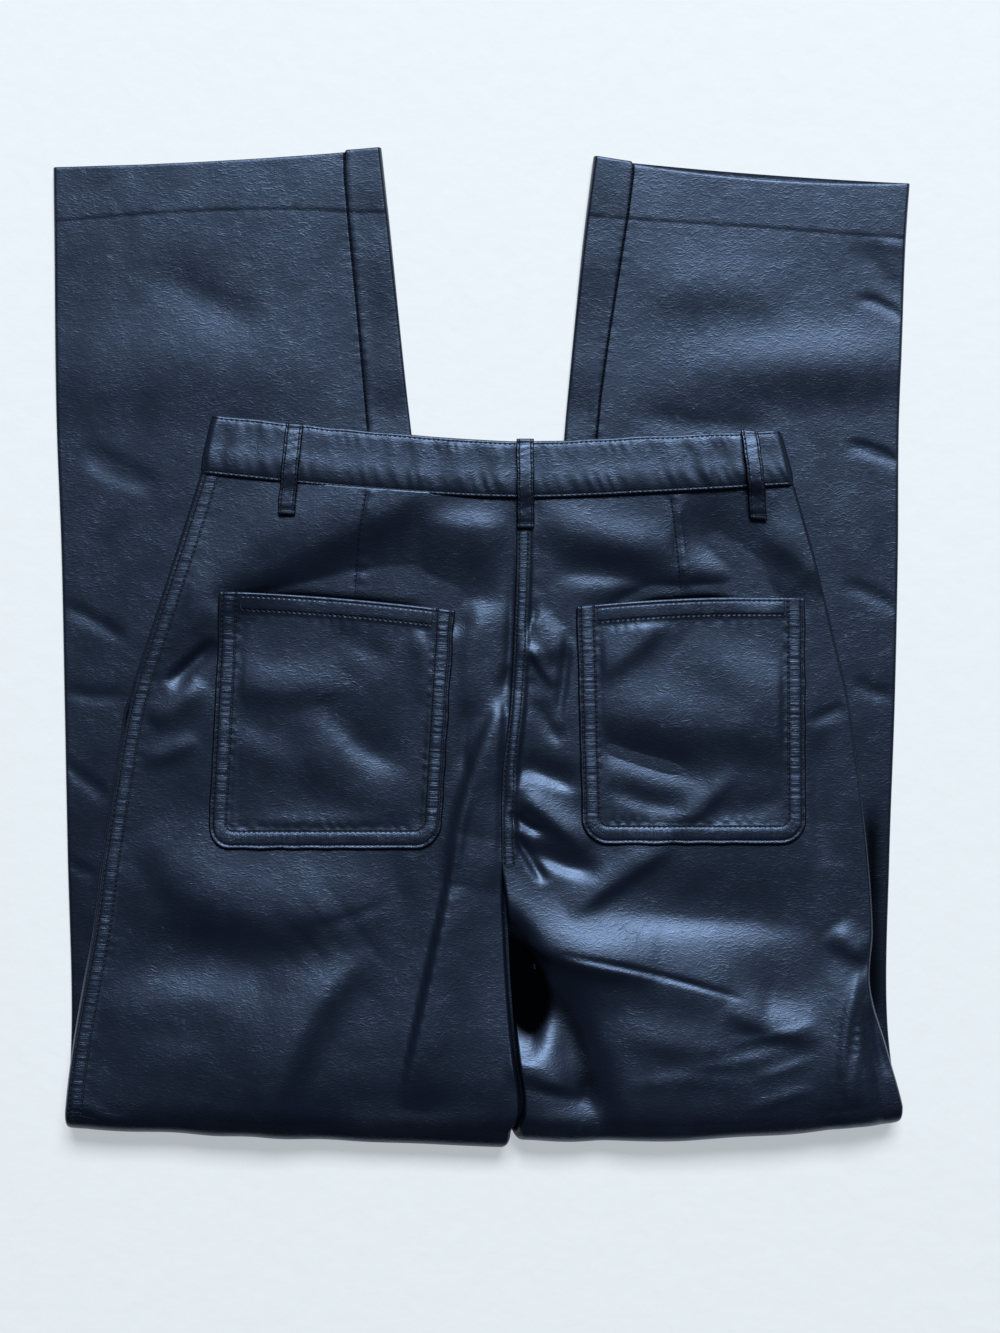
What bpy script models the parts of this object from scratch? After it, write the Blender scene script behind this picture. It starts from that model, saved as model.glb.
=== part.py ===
"""Faux leather utility trousers, folded in half across the thighs and lying back side up.

The origin is the middle of the underside of the bounding box. +X runs to the right of the seat, +Y from
the fold to the hems and +Z up. The seat and thighs lie uppermost, between the waist and the fold. There
each back panel turns under and runs on, flat on the floor, past the waist to its hem, and a front panel
lies on it. The hidden upper halves of the two front panels share one rounded solid between the seat and
the lower legs, with its plies showing at its sides.
"""

import math

import bmesh
import bpy
from mathutils import Vector
from mathutils.bvhtree import BVHTree

MM = 0.001

# Cloth and clearances.
CLOTH = 1.2 * MM  # one ply of coated cloth
GAP = 0.3 * MM  # between neighbouring pieces
SLACK = 0.6 * MM  # between a faceted surface and what lies under or on it
BAND_CLOTH = 2.4 * MM  # two plies, as the waistband is folded over
LOOP_CLOTH = 1.8 * MM  # a belt loop, folded and stitched flat
PATCH_CLOTH = 1.4 * MM  # a patch pocket with its turned edges

# Heights of the stack, from the floor up.
LEG_SEAM_BELOW = 1.6 * MM  # where the back panel of a lower leg ends, at its sides
LEG_SEAM_ABOVE = 3.4 * MM  # where the front panel of a lower leg ends over it
LEG_TOP_PRESSED = 4.4 * MM  # top of a lower leg under the seat
LEG_TOP_FREE = 6.5 * MM  # top of a lower leg beyond the waist
LEG_TOP_HEM = 5.7 * MM  # top of a lower leg at its doubled hem
CORE_UNDERSIDE = 4.9 * MM  # underside of the hidden layers
SEAT_EDGE = 8.0 * MM  # where the seat's rounded sides end
CORE_LIP = 6.8 * MM  # top of the hidden layers at their sides
BAND_TOP = 10.6 * MM
BAND_FRONT = 5.0 * MM  # underside of the front half of the waistband
BAND_LAP = 2.3 * MM  # underside of the lapped end at the closure

# Roundings.
SEAT_RIM = 6.0 * MM  # how far in the seat's sides are round
LEG_RIM = 2.4 * MM
FOLD_REACH = 11.0 * MM  # how far the cloth turns out past the straight part at the fold
FOLD_CORNER = 5.0 * MM
LIP_INSET = 0.8 * MM  # the hidden layers end this far inside the seat's sides
LIP_TURN_TOP = 5.2 * MM  # where the lip of the hidden layers goes into the fold
LIP_TURN_FOOT = 3.6 * MM
LIP_REACH = 2.0 * MM
TURN_SLACK = 2.0 * MM  # between the turned back panel and the hidden layers inside it
PLY_GROOVE = 2.0 * MM  # depth of the groove between the hidden plies at their sides
FOLD_STEP = 4.0 * MM  # the hidden layers thicken over this length next to the fold
FRONT_START = 6.5 * MM  # a lower front panel begins this far from the turn
HEM_DEPTH = 33.0 * MM
SWELL_START = 150.0 * MM  # beyond this place the lower legs swell to their free height
SWELL_RUN = 20.0 * MM
HEM_START = 255.0 * MM  # and beyond this one they settle to the height of the hem
HEM_RUN = 25.0 * MM
CROTCH_Y = -135.0 * MM
PARTING = 35.0 * MM  # length over which the thighs part below the crotch

# Seams.
LAP_WIDTH = 8.5 * MM  # the right seat panel laps over the left one along the centre back
LAP_START = 5.0 * MM  # above the crotch
LAP_RUN = 35.0 * MM
LAP_RISE = CLOTH + SLACK
LAP_RISE_START = -30.0 * MM  # above the crotch, so below it
LAP_RISE_RUN = 20.0 * MM
FLY_X = 16.0 * MM
FLY_WIDTH = 32.0 * MM
FLY_LENGTH = 165.0 * MM
FLY_INSET = 2.0 * MM  # the facing starts this far below the waistband
CLOSURE_END = 2.0 * MM  # the lapped end of the waistband reaches this far past the fly's line
CLOSURE_LAP = 40.0 * MM  # its length under the front
CLOSURE_STEP = 18.0 * MM  # the band climbs to the front's height over this length
FRONT_DIP = 6.0 * MM  # the front of the waist lies this much lower than the back at its middle
BUTTON_RADIUS = 8.5 * MM
BUTTON_DEPTH = 1.7 * MM
BUTTON_INSET = 18.0 * MM  # from the lapped end

# Facets.
SEAT_STEPS = 19
TURN_STEPS = 6
RIM_COLUMNS = (0.0, 1.2 * MM, 5.0 * MM)
INNER_SHARES = (0.16, 0.29, 0.42, 0.55, 0.68, 0.82)
BACK_UPS = (0.0, 0.12, 0.26, 0.4, 0.54, 0.68, 0.82, 0.9)
FRONT_UPS = (0.92, 0.88, 0.845, 0.81, 0.775, 0.74, 0.6, 0.45, 0.3, 0.15, 0.0)
FLY_DOWNS = (0.0, 0.3, 0.6, 0.8, 0.9, 0.96, 1.0)


def table(columns, *rows):
    """Rows of lengths in millimetres, each after the name of its place, as dictionaries in metres."""
    names = columns.split()
    return [dict(zip(names, [place] + [length * MM for length in lengths])) for place, *lengths in rows]


# Sections of the seat and thighs, from the fold up to the waist seam.
SEAT = table(
    "place y left left_in right_in right crown",
    ("fold", -310, -263, 15, 17.5, 266, 22),
    ("fold shoulder", -286, -263, 24.5, 26.5, 267, 22),
    ("lower thigh", -255, -259, 20.5, 23.5, 257, 20.5),
    ("mid thigh", -215, -253, 17, 22, 246.5, 18.5),
    ("thigh", -180, -247, 15, 19, 248.5, 17),
    ("crotch", -135, -241.5, 13, 13, 246, 15.5),
    ("pocket foot", -85, -234, 13, 13, 240.5, 14.5),
    ("pocket middle", -35, -225, 18, 18, 233.5, 14),
    ("pocket mouth", 15, -209, 20.5, 20.5, 222, 13),
    ("hip", 60, -194.5, 22, 22, 211, 12),
    ("waist seam", 112, -178, 22, 22, 196, 10.4),
)

# Sections of the lower legs, from the fold to the hems.
LEGS = table(
    "place y left left_in right_in right",
    ("fold", -310, -265, 13, 17, 267.5),
    ("thigh", -235, -262, 3, 23, 259),
    ("crotch", -135, -264.5, -10, 31, 260.5),
    ("seat", -35, -266.5, -23, 39, 264),
    ("hip", 60, -268.5, -35, 47, 266),
    ("waist", 138, -271.5, -45, 53, 266.5),
    ("shin", 192, -272.5, -51, 58, 268.5),
    ("cuff", 262, -273, -58, 65, 271),
    ("hem", 318, -273.5, -64, 72, 275),
)

# Heights y of lines that run across a leg: at its outer edge, in the middle and at its inner edge.
LINES = table(
    "line outer middle inner",
    ("left fold", -304, -311, -317),
    ("right fold", -300, -311, -312),
    ("left hem", 305.6, 309.5, 317),
    ("right hem", 296.3, 301.5, 312),
)

# The waistband: places on its seam edge and, across from them, on its free edge.
BAND = table(
    "place seam_x seam_y free_x free_y",
    ("left side", -178, 111, -170.7, 147),
    ("left dart", -80, 101.3, -74, 137),
    ("centre back", 22, 95.5, 22, 130.3),
    ("right dart", 112, 98.8, 107, 133.7),
    ("right side", 198, 103.7, 189.5, 137),
)

# The largest folds of the seat and thighs: a line, its rise and how far it reaches to each side.
SEAT_FOLDS = table(
    "fold x0 y0 x1 y1 rise reach",
    ("left hip crease", -200, -27, -164, 26, -2, 10),
    ("left hip swell", -216, -78, -182, -26, 2, 11),
    ("hollow by the left dart", -74, 45, -23, 93, -2, 16),
    ("left inner fold, upper", 8, -50, -21, -154, 3, 10),
    ("left inner fold, lower", -21, -154, -48, -270, 2.5, 12),
    ("hollow beside the inner fold", -34, -154, -66, -262, -2.5, 11),
    ("swell under the left pocket", -214, -116, -168, -152, 2.5, 13),
    ("swell across the left thigh", -168, -152, -66, -142, 2.5, 13),
    ("hollow across the left thigh", -206, -172, -70, -180, -3, 14),
    ("swell over the left fold", -225, -238, -160, -268, 2, 16),
    ("right waist swell", 70, 87, 120, 64, 2, 11),
    ("right waist hollow", 52, 54, 132, 36, -2, 11),
    ("right crotch swell", 28, -94, 56, -109, 2.5, 10),
    ("right crotch hollow", 26, -124, 74, -147, -2, 10),
    ("ridge to the right pocket", 150, -92, 52, -174, 2.5, 10),
    ("right thigh ridge", 24, -152, 75, -194, 3, 12),
    ("ridge across the right thigh", 75, -194, 200, -222, 3.5, 12),
    ("right thigh gully", 30, -190, 74, -252, -5, 13),
    ("gully down to the fold", 74, -252, 78, -296, -4, 12),
    ("right outer swell", 232, -160, 238, -198, 2, 12),
    ("right outer hollow", 200, -200, 220, -272, -3, 13),
)

# The largest folds of the lower legs, beyond the waist.
LEG_FOLDS = table(
    "fold x0 y0 x1 y1 rise reach",
    ("left shin hollow", -212, 240, -142, 208, -1.2, 18),
    ("left shin swell", -212, 174, -116, 180, 1.5, 20),
    ("right shin swell", 133, 184, 256, 198, 2.5, 16),
    ("right waist hollow", 100, 158, 248, 158, -1.8, 14),
    ("right cuff swell", 126, 240, 158, 236, 1.5, 18),
)

# The patch pockets: corners of the mouth and foot.
POCKETS = table(
    "pocket mouth_left mouth_left_y mouth_right mouth_right_y foot_left foot_right foot_y",
    ("pocket_left", -165.6, 35, -17, 23, -173.5, -26, -128),
    ("pocket_right", 60, 25.5, 205, 31, 64, 205.5, -125),
)
POCKET_CORNER = 16.0 * MM
POCKET_ROWS = (0.0, 0.13, 0.26, 0.39, 0.52, 0.65, 0.77, 0.88, 0.95, 1.0)
POCKET_COLUMNS = (0.0, 0.03, 0.15, 0.29, 0.43, 0.57, 0.71, 0.85, 0.97, 1.0)

# The belt loops at the back: the middle of each end.
LOOPS = table(
    "loop top_x foot_x top_y foot_y",
    ("belt_loop_left", -118, -123.5, 140.5, 84),
    ("belt_loop_centre", 27.5, 28, 130.5, 75.5),
    ("belt_loop_right", 169, 175.5, 136, 81),
)
LOOP_WIDTH = 11.0 * MM
LOOP_BOW = 1.0 * MM

# Colours: linear red, green, blue and alpha.
LEATHER_COLOUR = (0.0075, 0.0095, 0.0190, 1.0)
BUTTON_COLOUR = (0.010, 0.010, 0.013, 1.0)


def mix(start, end, share):
    return start + (end - start) * share


def smooth(value):
    """0 up to 0, 1 from 1 on, and easy between."""
    value = min(max(value, 0.0), 1.0)
    return value * value * (3.0 - 2.0 * value)


def round_off(share):
    """Height of a quarter ellipse, from 0 at its edge to 1 where it is full."""
    share = min(max(share, 0.0), 1.0)
    return math.sqrt(1.0 - (1.0 - share) ** 2)


def along(rows, column, place, key="y"):
    """A table's column at a place along its key column, on a curve through its rows."""
    last = len(rows) - 1
    below = max([i for i in range(last) if rows[i][key] <= place], default=0)

    def slope(i):
        before, after = rows[max(i - 1, 0)], rows[min(i + 1, last)]
        return (after[column] - before[column]) / (after[key] - before[key])

    start, end = rows[below], rows[below + 1]
    span = end[key] - start[key]
    t = (place - start[key]) / span
    if t < 0.0 or t > 1.0:
        return mix(start[column], end[column], t)
    return (
        (1 + 2 * t) * (1 - t) ** 2 * start[column]
        + t * (1 - t) ** 2 * span * slope(below)
        + t * t * (3 - 2 * t) * end[column]
        - t * t * (1 - t) * span * slope(below + 1)
    )


def line_y(name, share):
    """Height of one of the lines, at a share of the way from the outer to the inner edge."""
    line = next(row for row in LINES if row["line"] == name)
    return (
        line["outer"] * (1 - share) * (1 - 2 * share)
        + line["middle"] * 4 * share * (1 - share)
        + line["inner"] * share * (2 * share - 1)
    )


def fold_rise(folds, x, y):
    """How much the folds near a place lift the cloth."""
    rise = 0.0
    place = Vector((x, y))
    for fold in folds:
        start = Vector((fold["x0"], fold["y0"]))
        run = Vector((fold["x1"], fold["y1"])) - start
        share = min(max((place - start).dot(run) / run.length_squared, 0.0), 1.0)
        distance = (place - start - run * share).length
        rise += fold["rise"] * math.exp(-((distance / fold["reach"]) ** 2))
    return rise


def parted(y):
    """0 above the crotch, where the seat is one, and 1 where the thighs lie apart."""
    return smooth((CROTCH_Y - y) / PARTING)


def waist_y(side, share):
    """Height of the waist seam, at a share of the way from the side to the centre back."""
    side_x = BAND[0]["seam_x"] if side == "left" else BAND[-1]["seam_x"]
    centre_x = along(SEAT, side + "_in", BAND[2]["seam_y"])
    return along(BAND, "seam_y", mix(side_x, centre_x, share), "seam_x")


def front_dip(x):
    """How much lower the front of the waist lies than the back."""
    middle = (BAND[0]["seam_x"] + BAND[-1]["seam_x"]) / 2
    return FRONT_DIP * (1.0 - ((x - middle) / (BAND[-1]["seam_x"] - middle)) ** 2)


def seat_y(side, share, down):
    turn = line_y(side + " fold", share) + FOLD_REACH
    return mix(waist_y(side, share), turn, down)


def seat_point(side, down, share, lap=0.0):
    """A place on the seat's outer surface. down runs from the waist seam to the turn, share from the outer
    to the inner edge, and lap moves the inner edge over the centre."""
    y = seat_y(side, share, down)
    outer = along(SEAT, side, seat_y(side, 0.0, down))
    inner = along(SEAT, side + "_in", seat_y(side, 1.0, down)) + lap
    x = mix(outer, inner, share)
    crown = along(SEAT, "crown", y) + fold_rise(SEAT_FOLDS, x, y)
    outer_round = round_off(abs(x - outer) / SEAT_RIM)
    inner_round = mix(1.0, round_off(abs(inner - x) / SEAT_RIM), parted(y))
    return Vector((x, y, mix(SEAT_EDGE, crown, min(outer_round, inner_round))))


def leg_point(side, up, share, start=0.0):
    """A place on the floor under a lower leg. up runs from the turn, or start past it, to the hem."""

    def y_at(place):
        return mix(line_y(side + " fold", place) + FOLD_REACH + start, line_y(side + " hem", place), up)

    outer = along(LEGS, side, y_at(0.0))
    inner = along(LEGS, side + "_in", y_at(1.0))
    x = mix(outer, inner, share)
    edge = min(abs(x - outer), abs(inner - x))
    return Vector((x, y_at(share), LEG_SEAM_BELOW * (1.0 - round_off(edge / LEG_RIM)))), edge


def leg_top(x, y, edge):
    """Height of the upper surface of a lower leg."""
    free = smooth((y - SWELL_START) / SWELL_RUN)
    hem = smooth((y - HEM_START) / HEM_RUN)
    top = mix(mix(LEG_TOP_PRESSED, LEG_TOP_FREE, free), LEG_TOP_HEM, hem)
    top += fold_rise(LEG_FOLDS, x, y) * free * (1.0 - hem)
    return mix(LEG_SEAM_ABOVE, top, round_off(edge / LEG_RIM))


def columns(width, inner_near=RIM_COLUMNS[1], inner_far=RIM_COLUMNS[2]):
    """Shares of the way across a panel, close together at its two edges."""
    shares = [distance / width for distance in RIM_COLUMNS]
    shares += INNER_SHARES
    shares += [1.0 - inner_far / width, 1.0 - inner_near / width, 1.0]
    return shares


def seat_downs():
    """Shares of the way from the waist seam to the turn."""
    length = abs(seat_y("left", 0.5, 1.0) - seat_y("left", 0.5, 0.0))
    last = 1.0 - FOLD_STEP / length
    return [last * step / SEAT_STEPS for step in range(SEAT_STEPS + 1)] + [1.0]


def seat_width(side, down):
    edges = [seat_point(side, down, share).x for share in (0.0, 1.0)]
    return abs(edges[1] - edges[0])


def left_to_right(side, row):
    return row if side == "left" else row[::-1]


def lapped_columns(side, down):
    """Shares across the seat. The right panel has room for the lap at its inner edge."""
    width = seat_width(side, down)
    if side == "left":
        return columns(width)
    joined = 1.0 - parted(seat_y(side, 1.0, down))
    near = mix(RIM_COLUMNS[1], LAP_WIDTH + 1.0 * MM, joined)
    far = mix(RIM_COLUMNS[2], LAP_WIDTH + 5.0 * MM, joined)
    return columns(width, near, far)


def seat_rows(side):
    """Outer points of a seat panel, each row from the outer to the inner edge, before the lap lifts it."""
    rows = []
    for down in seat_downs():
        above_crotch = seat_y(side, 1.0, down) - CROTCH_Y
        lap = LAP_WIDTH * smooth((above_crotch - LAP_START) / LAP_RUN) if side == "left" else 0.0
        rows.append([seat_point(side, down, share, lap) for share in lapped_columns(side, down)])
    return rows


def back_rows(side):
    """Outer points of a back panel, from the waist over the seat, round the fold and to the hem."""
    rows = seat_rows(side)
    if side == "right":
        for row in rows:
            above_crotch = row[-1].y - CROTCH_Y
            rise = LAP_RISE * smooth((above_crotch - LAP_RISE_START) / LAP_RISE_RUN)
            for point in row[-2:]:
                point.z += rise
    rows = [left_to_right(side, row) for row in rows]

    first = [leg_point(side, 0.0, share)[0] for share in columns(leg_width(side, 0.0))]
    first = left_to_right(side, first)
    top = rows[-1]
    for step in range(1, TURN_STEPS):
        rows.append(turn_row(top, first, math.pi * step / TURN_STEPS))

    for up in (*BACK_UPS, hem_share(side), 1.0):
        row = [leg_point(side, up, share)[0] for share in columns(leg_width(side, up))]
        rows.append(left_to_right(side, row))
    return rows


def turn_row(top, bottom, angle):
    """One row of points on the turn between a row on the seat and the row under it."""
    row = []
    for upper, lower in zip(top, bottom):
        edge = min(abs(upper.x - top[0].x), abs(upper.x - top[-1].x))
        corner = FOLD_CORNER * (1.0 - round_off(edge / FOLD_CORNER))
        middle = mix(upper, lower, (1.0 - math.cos(angle)) / 2)
        middle.y -= (FOLD_REACH - corner) * math.sin(angle)
        row.append(middle)
    return row


def leg_width(side, up):
    edges = [leg_point(side, up, share)[0].x for share in (0.0, 1.0)]
    return abs(edges[1] - edges[0])


def hem_share(side):
    length = line_y(side + " hem", 0.5) - line_y(side + " fold", 0.5) - FOLD_REACH
    return 1.0 - HEM_DEPTH / length


def front_rows(side):
    """Outer points of the lower stretch of a front panel, from its hem to where it goes into the fold."""
    rows = []
    for up in (1.0, hem_share(side), *FRONT_UPS):
        row = []
        for share in columns(leg_width(side, up)):
            point, edge = leg_point(side, up, share, FRONT_START)
            point.z = leg_top(point.x, point.y, edge)
            row.append(point)
        rows.append(left_to_right(side, row))
    return rows


def new_object(name, mesh, colour=LEATHER_COLOUR, roughness=0.42):
    material = bpy.data.materials.new(name + "_material")
    material.use_nodes = True
    shader = material.node_tree.nodes["Principled BSDF"]
    shader.inputs["Base Color"].default_value = colour
    shader.inputs["Roughness"].default_value = roughness
    shader.inputs["Metallic"].default_value = 0.0
    material.diffuse_color = colour
    mesh.materials.append(material)
    item = bpy.data.objects.new(name, mesh)
    bpy.context.scene.collection.objects.link(item)
    return item


def mesh_of(name, points, faces):
    mesh = bpy.data.meshes.new(name)
    mesh.from_pydata([tuple(point) for point in points], [], faces)
    mesh.shade_smooth()
    mesh.set_sharp_from_angle(angle=math.radians(50))
    return mesh


def grid_faces(row_count, column_count):
    """Triangles of a grid whose rows run towards -Y and whose columns run towards +X, facing up."""
    faces = []
    for i in range(row_count - 1):
        for j in range(column_count - 1):
            corner = i * column_count + j
            below = corner + column_count
            faces += [(corner, below, below + 1), (corner, below + 1, corner + 1)]
    return faces


def sheet(name, rows, thickness, doubled_rows=()):
    """A piece of cloth: its outer surface as a grid, made solid inwards, and twice as thick on some rows."""
    points = [point for row in rows for point in row]
    item = new_object(name, mesh_of(name, points, grid_faces(len(rows), len(rows[0]))))
    plies = item.vertex_groups.new(name="plies")
    count = len(rows[0])
    plies.add(range(len(points)), 0.5, "REPLACE")
    for i in doubled_rows:
        plies.add(range(i * count + 1, (i + 1) * count - 1), 1.0, "REPLACE")
    solid = item.modifiers.new("cloth", "SOLIDIFY")
    solid.thickness = 2.0 * thickness
    solid.offset = -1.0
    solid.use_even_offset = False
    solid.vertex_group = plies.name
    return item


def add_legs():
    """The panels that show: two back panels from waist to hem, and the lower stretches of two front panels."""
    seats = {}
    for side in ("left", "right"):
        rows = back_rows(side)
        last = len(rows) - 1
        sheet("back_" + side, rows, CLOTH, doubled_rows=(last - 1, last))
        sheet("front_" + side, front_rows(side), CLOTH, doubled_rows=(0, 1))
        seats[side] = rows
    return seats


def core_shares(side, down):
    """Shares across the hidden layers of a leg, which end just inside the seat's sides, or at the centre
    where the seat is one."""
    width = seat_width(side, down)
    inset = LIP_INSET / width
    joined = seat_y(side, 1.0, down) >= CROTCH_Y
    return [inset, *columns(width)[2:-2], 1.0 if joined else 1.0 - inset]


def lowest_around(rows, i, j):
    """The least height of a point in a grid and of its neighbours."""
    return min(point.z for row in rows[max(i - 1, 0) : i + 2] for point in row[j - 1 : j + 2])


def core_rings(side):
    """Closed sections of the hidden layers along a leg, from its outer to its inner side. Each runs over the
    top, lower than all the seat's points around it, then round inside the fold and back underneath."""
    seat = seat_rows(side)
    downs = seat_downs()
    shares = [core_shares(side, down) for down in downs]
    innermost = len(shares[0]) - 1
    inset = CLOTH + SLACK
    rings = []
    for column in range(innermost + 1):
        ring = []
        for i, down in enumerate(downs):
            point = seat_point(side, down, shares[i][column])
            at_lip = column == 0 or (column == innermost and shares[i][column] < 1.0)
            point.z = CORE_LIP if at_lip else lowest_around(seat, i, column + 1) - inset
            ring.append(point)
        floor = leg_point(side, 0.0, shares[-1][column])[0]
        floor.z = inset
        reach = FOLD_REACH - inset - TURN_SLACK
        if column in (0, innermost):
            ring[-1].z = LIP_TURN_TOP
            floor.z = LIP_TURN_FOOT
            reach = LIP_REACH
        ring += turn_points(ring[-1], floor, reach)
        ring += [Vector((point.x, point.y, CORE_UNDERSIDE)) for point in ring[len(downs) - 2 :: -1]]
        for point in (ring[0], ring[-1]):
            point.y -= front_dip(point.x)
        rings.append(ring)
    return rings


def turn_points(top, floor, reach):
    """Points on the hidden layers' own turn, from under its top to the floor point."""
    points = []
    for step in range(1, TURN_STEPS):
        angle = math.pi * step / TURN_STEPS
        middle = mix(top, floor, (1.0 - math.cos(angle)) / 2)
        middle.y -= reach * math.sin(angle)
        points.append(middle)
    return [*points, floor]


def add_core():
    """The hidden upper halves of both front panels as one solid, parted below the crotch."""
    work = bmesh.new()
    joined = [seat_y("left", 1.0, down) >= CROTCH_Y for down in seat_downs()].count(True)
    centre = []
    for side in ("left", "right"):
        rings = [[work.verts.new(point) for point in ring] for ring in core_rings(side)]
        inner = rings[-1]
        count = len(inner)
        if centre:
            for i in [*range(joined), *range(count - joined, count)]:
                work.verts.remove(inner[i])
                inner[i] = centre[i]
        centre = inner
        for ring, following in zip(rings, rings[1:]):
            for i in range(count):
                work.faces.new([ring[i], ring[i - 1], following[i - 1], following[i]])
        close_side(work, rings[0], outwards=-1.0 if side == "left" else 1.0)
        for i in range(joined - 1, count // 2):
            corners = [inner[i], inner[i + 1], inner[count - 2 - i], inner[count - 1 - i]]
            work.faces.new(list(dict.fromkeys(corners)))
    bmesh.ops.recalc_face_normals(work, faces=work.faces)
    mesh = bpy.data.meshes.new("folded_layers")
    work.to_mesh(mesh)
    work.free()
    mesh.shade_smooth()
    mesh.set_sharp_from_angle(angle=math.radians(50))
    new_object("folded_layers", mesh)


def close_side(work, ring, outwards):
    """Closes the outermost section, with a groove along its middle that shows it as two plies."""
    count = len(ring)
    groove = []
    for i in range(count // 2):
        middle = (ring[i].co + ring[count - 1 - i].co) / 2
        middle.x -= outwards * PLY_GROOVE
        groove.append(work.verts.new(middle))
    for i in range(count // 2 - 1):
        work.faces.new([ring[i], ring[i + 1], groove[i + 1], groove[i]])
        work.faces.new([groove[i], groove[i + 1], ring[count - 2 - i], ring[count - 1 - i]])
    last, tip = count // 2 - 1, ring[count // 2]
    work.faces.new([ring[last], tip, groove[last]])
    work.faces.new([groove[last], tip, ring[count - 1 - last]])
    work.faces.new([ring[0], groove[0], ring[count - 1]])


def band_share(x):
    """Share of the way from the left to the right side, along the waistband's seam edge."""
    return (x - BAND[0]["seam_x"]) / (BAND[-1]["seam_x"] - BAND[0]["seam_x"])


def band_point(share, width, front=0.0):
    """A place on the flat waistband: width is 0 on its seam edge and 1 on its free edge, and front 1 on its
    front half."""
    seam_x = mix(BAND[0]["seam_x"], BAND[-1]["seam_x"], share)
    free_x = along(BAND, "free_x", seam_x, "seam_x")
    seam_y = along(BAND, "seam_y", seam_x, "seam_x") + SLACK
    free_y = along(BAND, "free_y", seam_x, "seam_x")
    return mix(seam_x, free_x, width), mix(seam_y, free_y, width) - front * front_dip(seam_x)


def add_waistband():
    """One folded band round the waist, from its lapped end under the left front, over the back and to the
    other end under the right front."""
    side_radius = (BAND_TOP - BAND_FRONT) / 2
    middle = (BAND_TOP + BAND_FRONT) / 2
    inset = side_radius / (BAND[-1]["seam_x"] - BAND[0]["seam_x"])
    turn = [math.radians(angle) for angle in (30, 60, 90, 120, 150)]

    # Share of the way across, height of the outer surface, and 1 on the front half.
    lap_end = FLY_X + CLOSURE_END
    laps = (lap_end, lap_end - CLOSURE_LAP / 2, lap_end - CLOSURE_LAP)
    path = [(band_share(x), BAND_LAP, 1.0) for x in laps]
    path.append((band_share(lap_end - CLOSURE_LAP - CLOSURE_STEP), BAND_FRONT, 1.0))
    path += [(share, BAND_FRONT, 1.0) for share in (0.2, 0.1, inset)]
    for angle in turn:
        share = inset * (1.0 - math.sin(angle))
        path.append((share, middle - side_radius * math.cos(angle), 1.0 - angle / math.pi))
    path += [(mix(inset, 1.0 - inset, step / 16), BAND_TOP, 0.0) for step in range(17)]
    for angle in turn:
        share = 1.0 - inset * (1.0 - math.sin(angle))
        path.append((share, middle + side_radius * math.cos(angle), angle / math.pi))
    path += [(share, BAND_FRONT, 1.0) for share in (1.0 - inset, 0.9, 0.8, 0.7, 0.6)]
    path.append((band_share(lap_end - CLOSURE_LAP / 2), BAND_FRONT, 1.0))

    rows = []
    for width in (1.0, 0.5, 0.0):
        rows.append([Vector((*band_point(share, width, front), z)) for share, z, front in path])
    sheet("waistband", rows, BAND_CLOTH)


def tree_of(rows):
    points = [point for row in rows for point in row]
    return BVHTree.FromPolygons(points, grid_faces(len(rows), len(rows[0])))


def height_on(trees, x, y):
    """Height of the uppermost of some surfaces at a place."""
    hits = [tree.ray_cast(Vector((x, y, 1.0)), Vector((0, 0, -1))) for tree in trees]
    return max([hit[0].z for hit in hits if hit[0]], default=BAND_TOP)


def add_pockets(trees):
    """Patch pockets, made from the points of the seat under them, moved out."""
    for pocket in POCKETS:
        rows = []
        for down in POCKET_ROWS:
            row = []
            for across in POCKET_COLUMNS:
                mouth_y = mix(pocket["mouth_left_y"], pocket["mouth_right_y"], across)
                y = mix(mouth_y, pocket["foot_y"], down)
                left = mix(pocket["mouth_left"], pocket["foot_left"], down)
                right = mix(pocket["mouth_right"], pocket["foot_right"], down)
                corner = POCKET_CORNER * (1.0 - round_off((y - pocket["foot_y"]) / POCKET_CORNER))
                x = mix(left + corner, right - corner, across)
                row.append(Vector((x, y, height_on(trees, x, y) + SLACK + PATCH_CLOTH)))
            rows.append(row)
        sheet(pocket["pocket"], rows, PATCH_CLOTH)


def add_loops(trees):
    """Belt loops over the waistband, bowed up off it, each end lying flat."""
    for loop in LOOPS:
        rows = []
        for down in (0.0, 0.1, 0.3, 0.5, 0.7, 0.85, 1.0):
            y = mix(loop["top_y"], loop["foot_y"], down)
            middle = mix(loop["top_x"], loop["foot_x"], down)
            sides = [middle - LOOP_WIDTH / 2, middle, middle + LOOP_WIDTH / 2]
            under = max(height_on(trees, x, y) for x in sides)
            over_band = BAND_TOP if down < 0.75 else 0.0
            z = max(under, over_band) + SLACK + LOOP_CLOTH + LOOP_BOW * math.sin(math.pi * down)
            rows.append([Vector((x, y, z)) for x in sides])
        sheet(loop["loop"], rows, LOOP_CLOTH)


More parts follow.
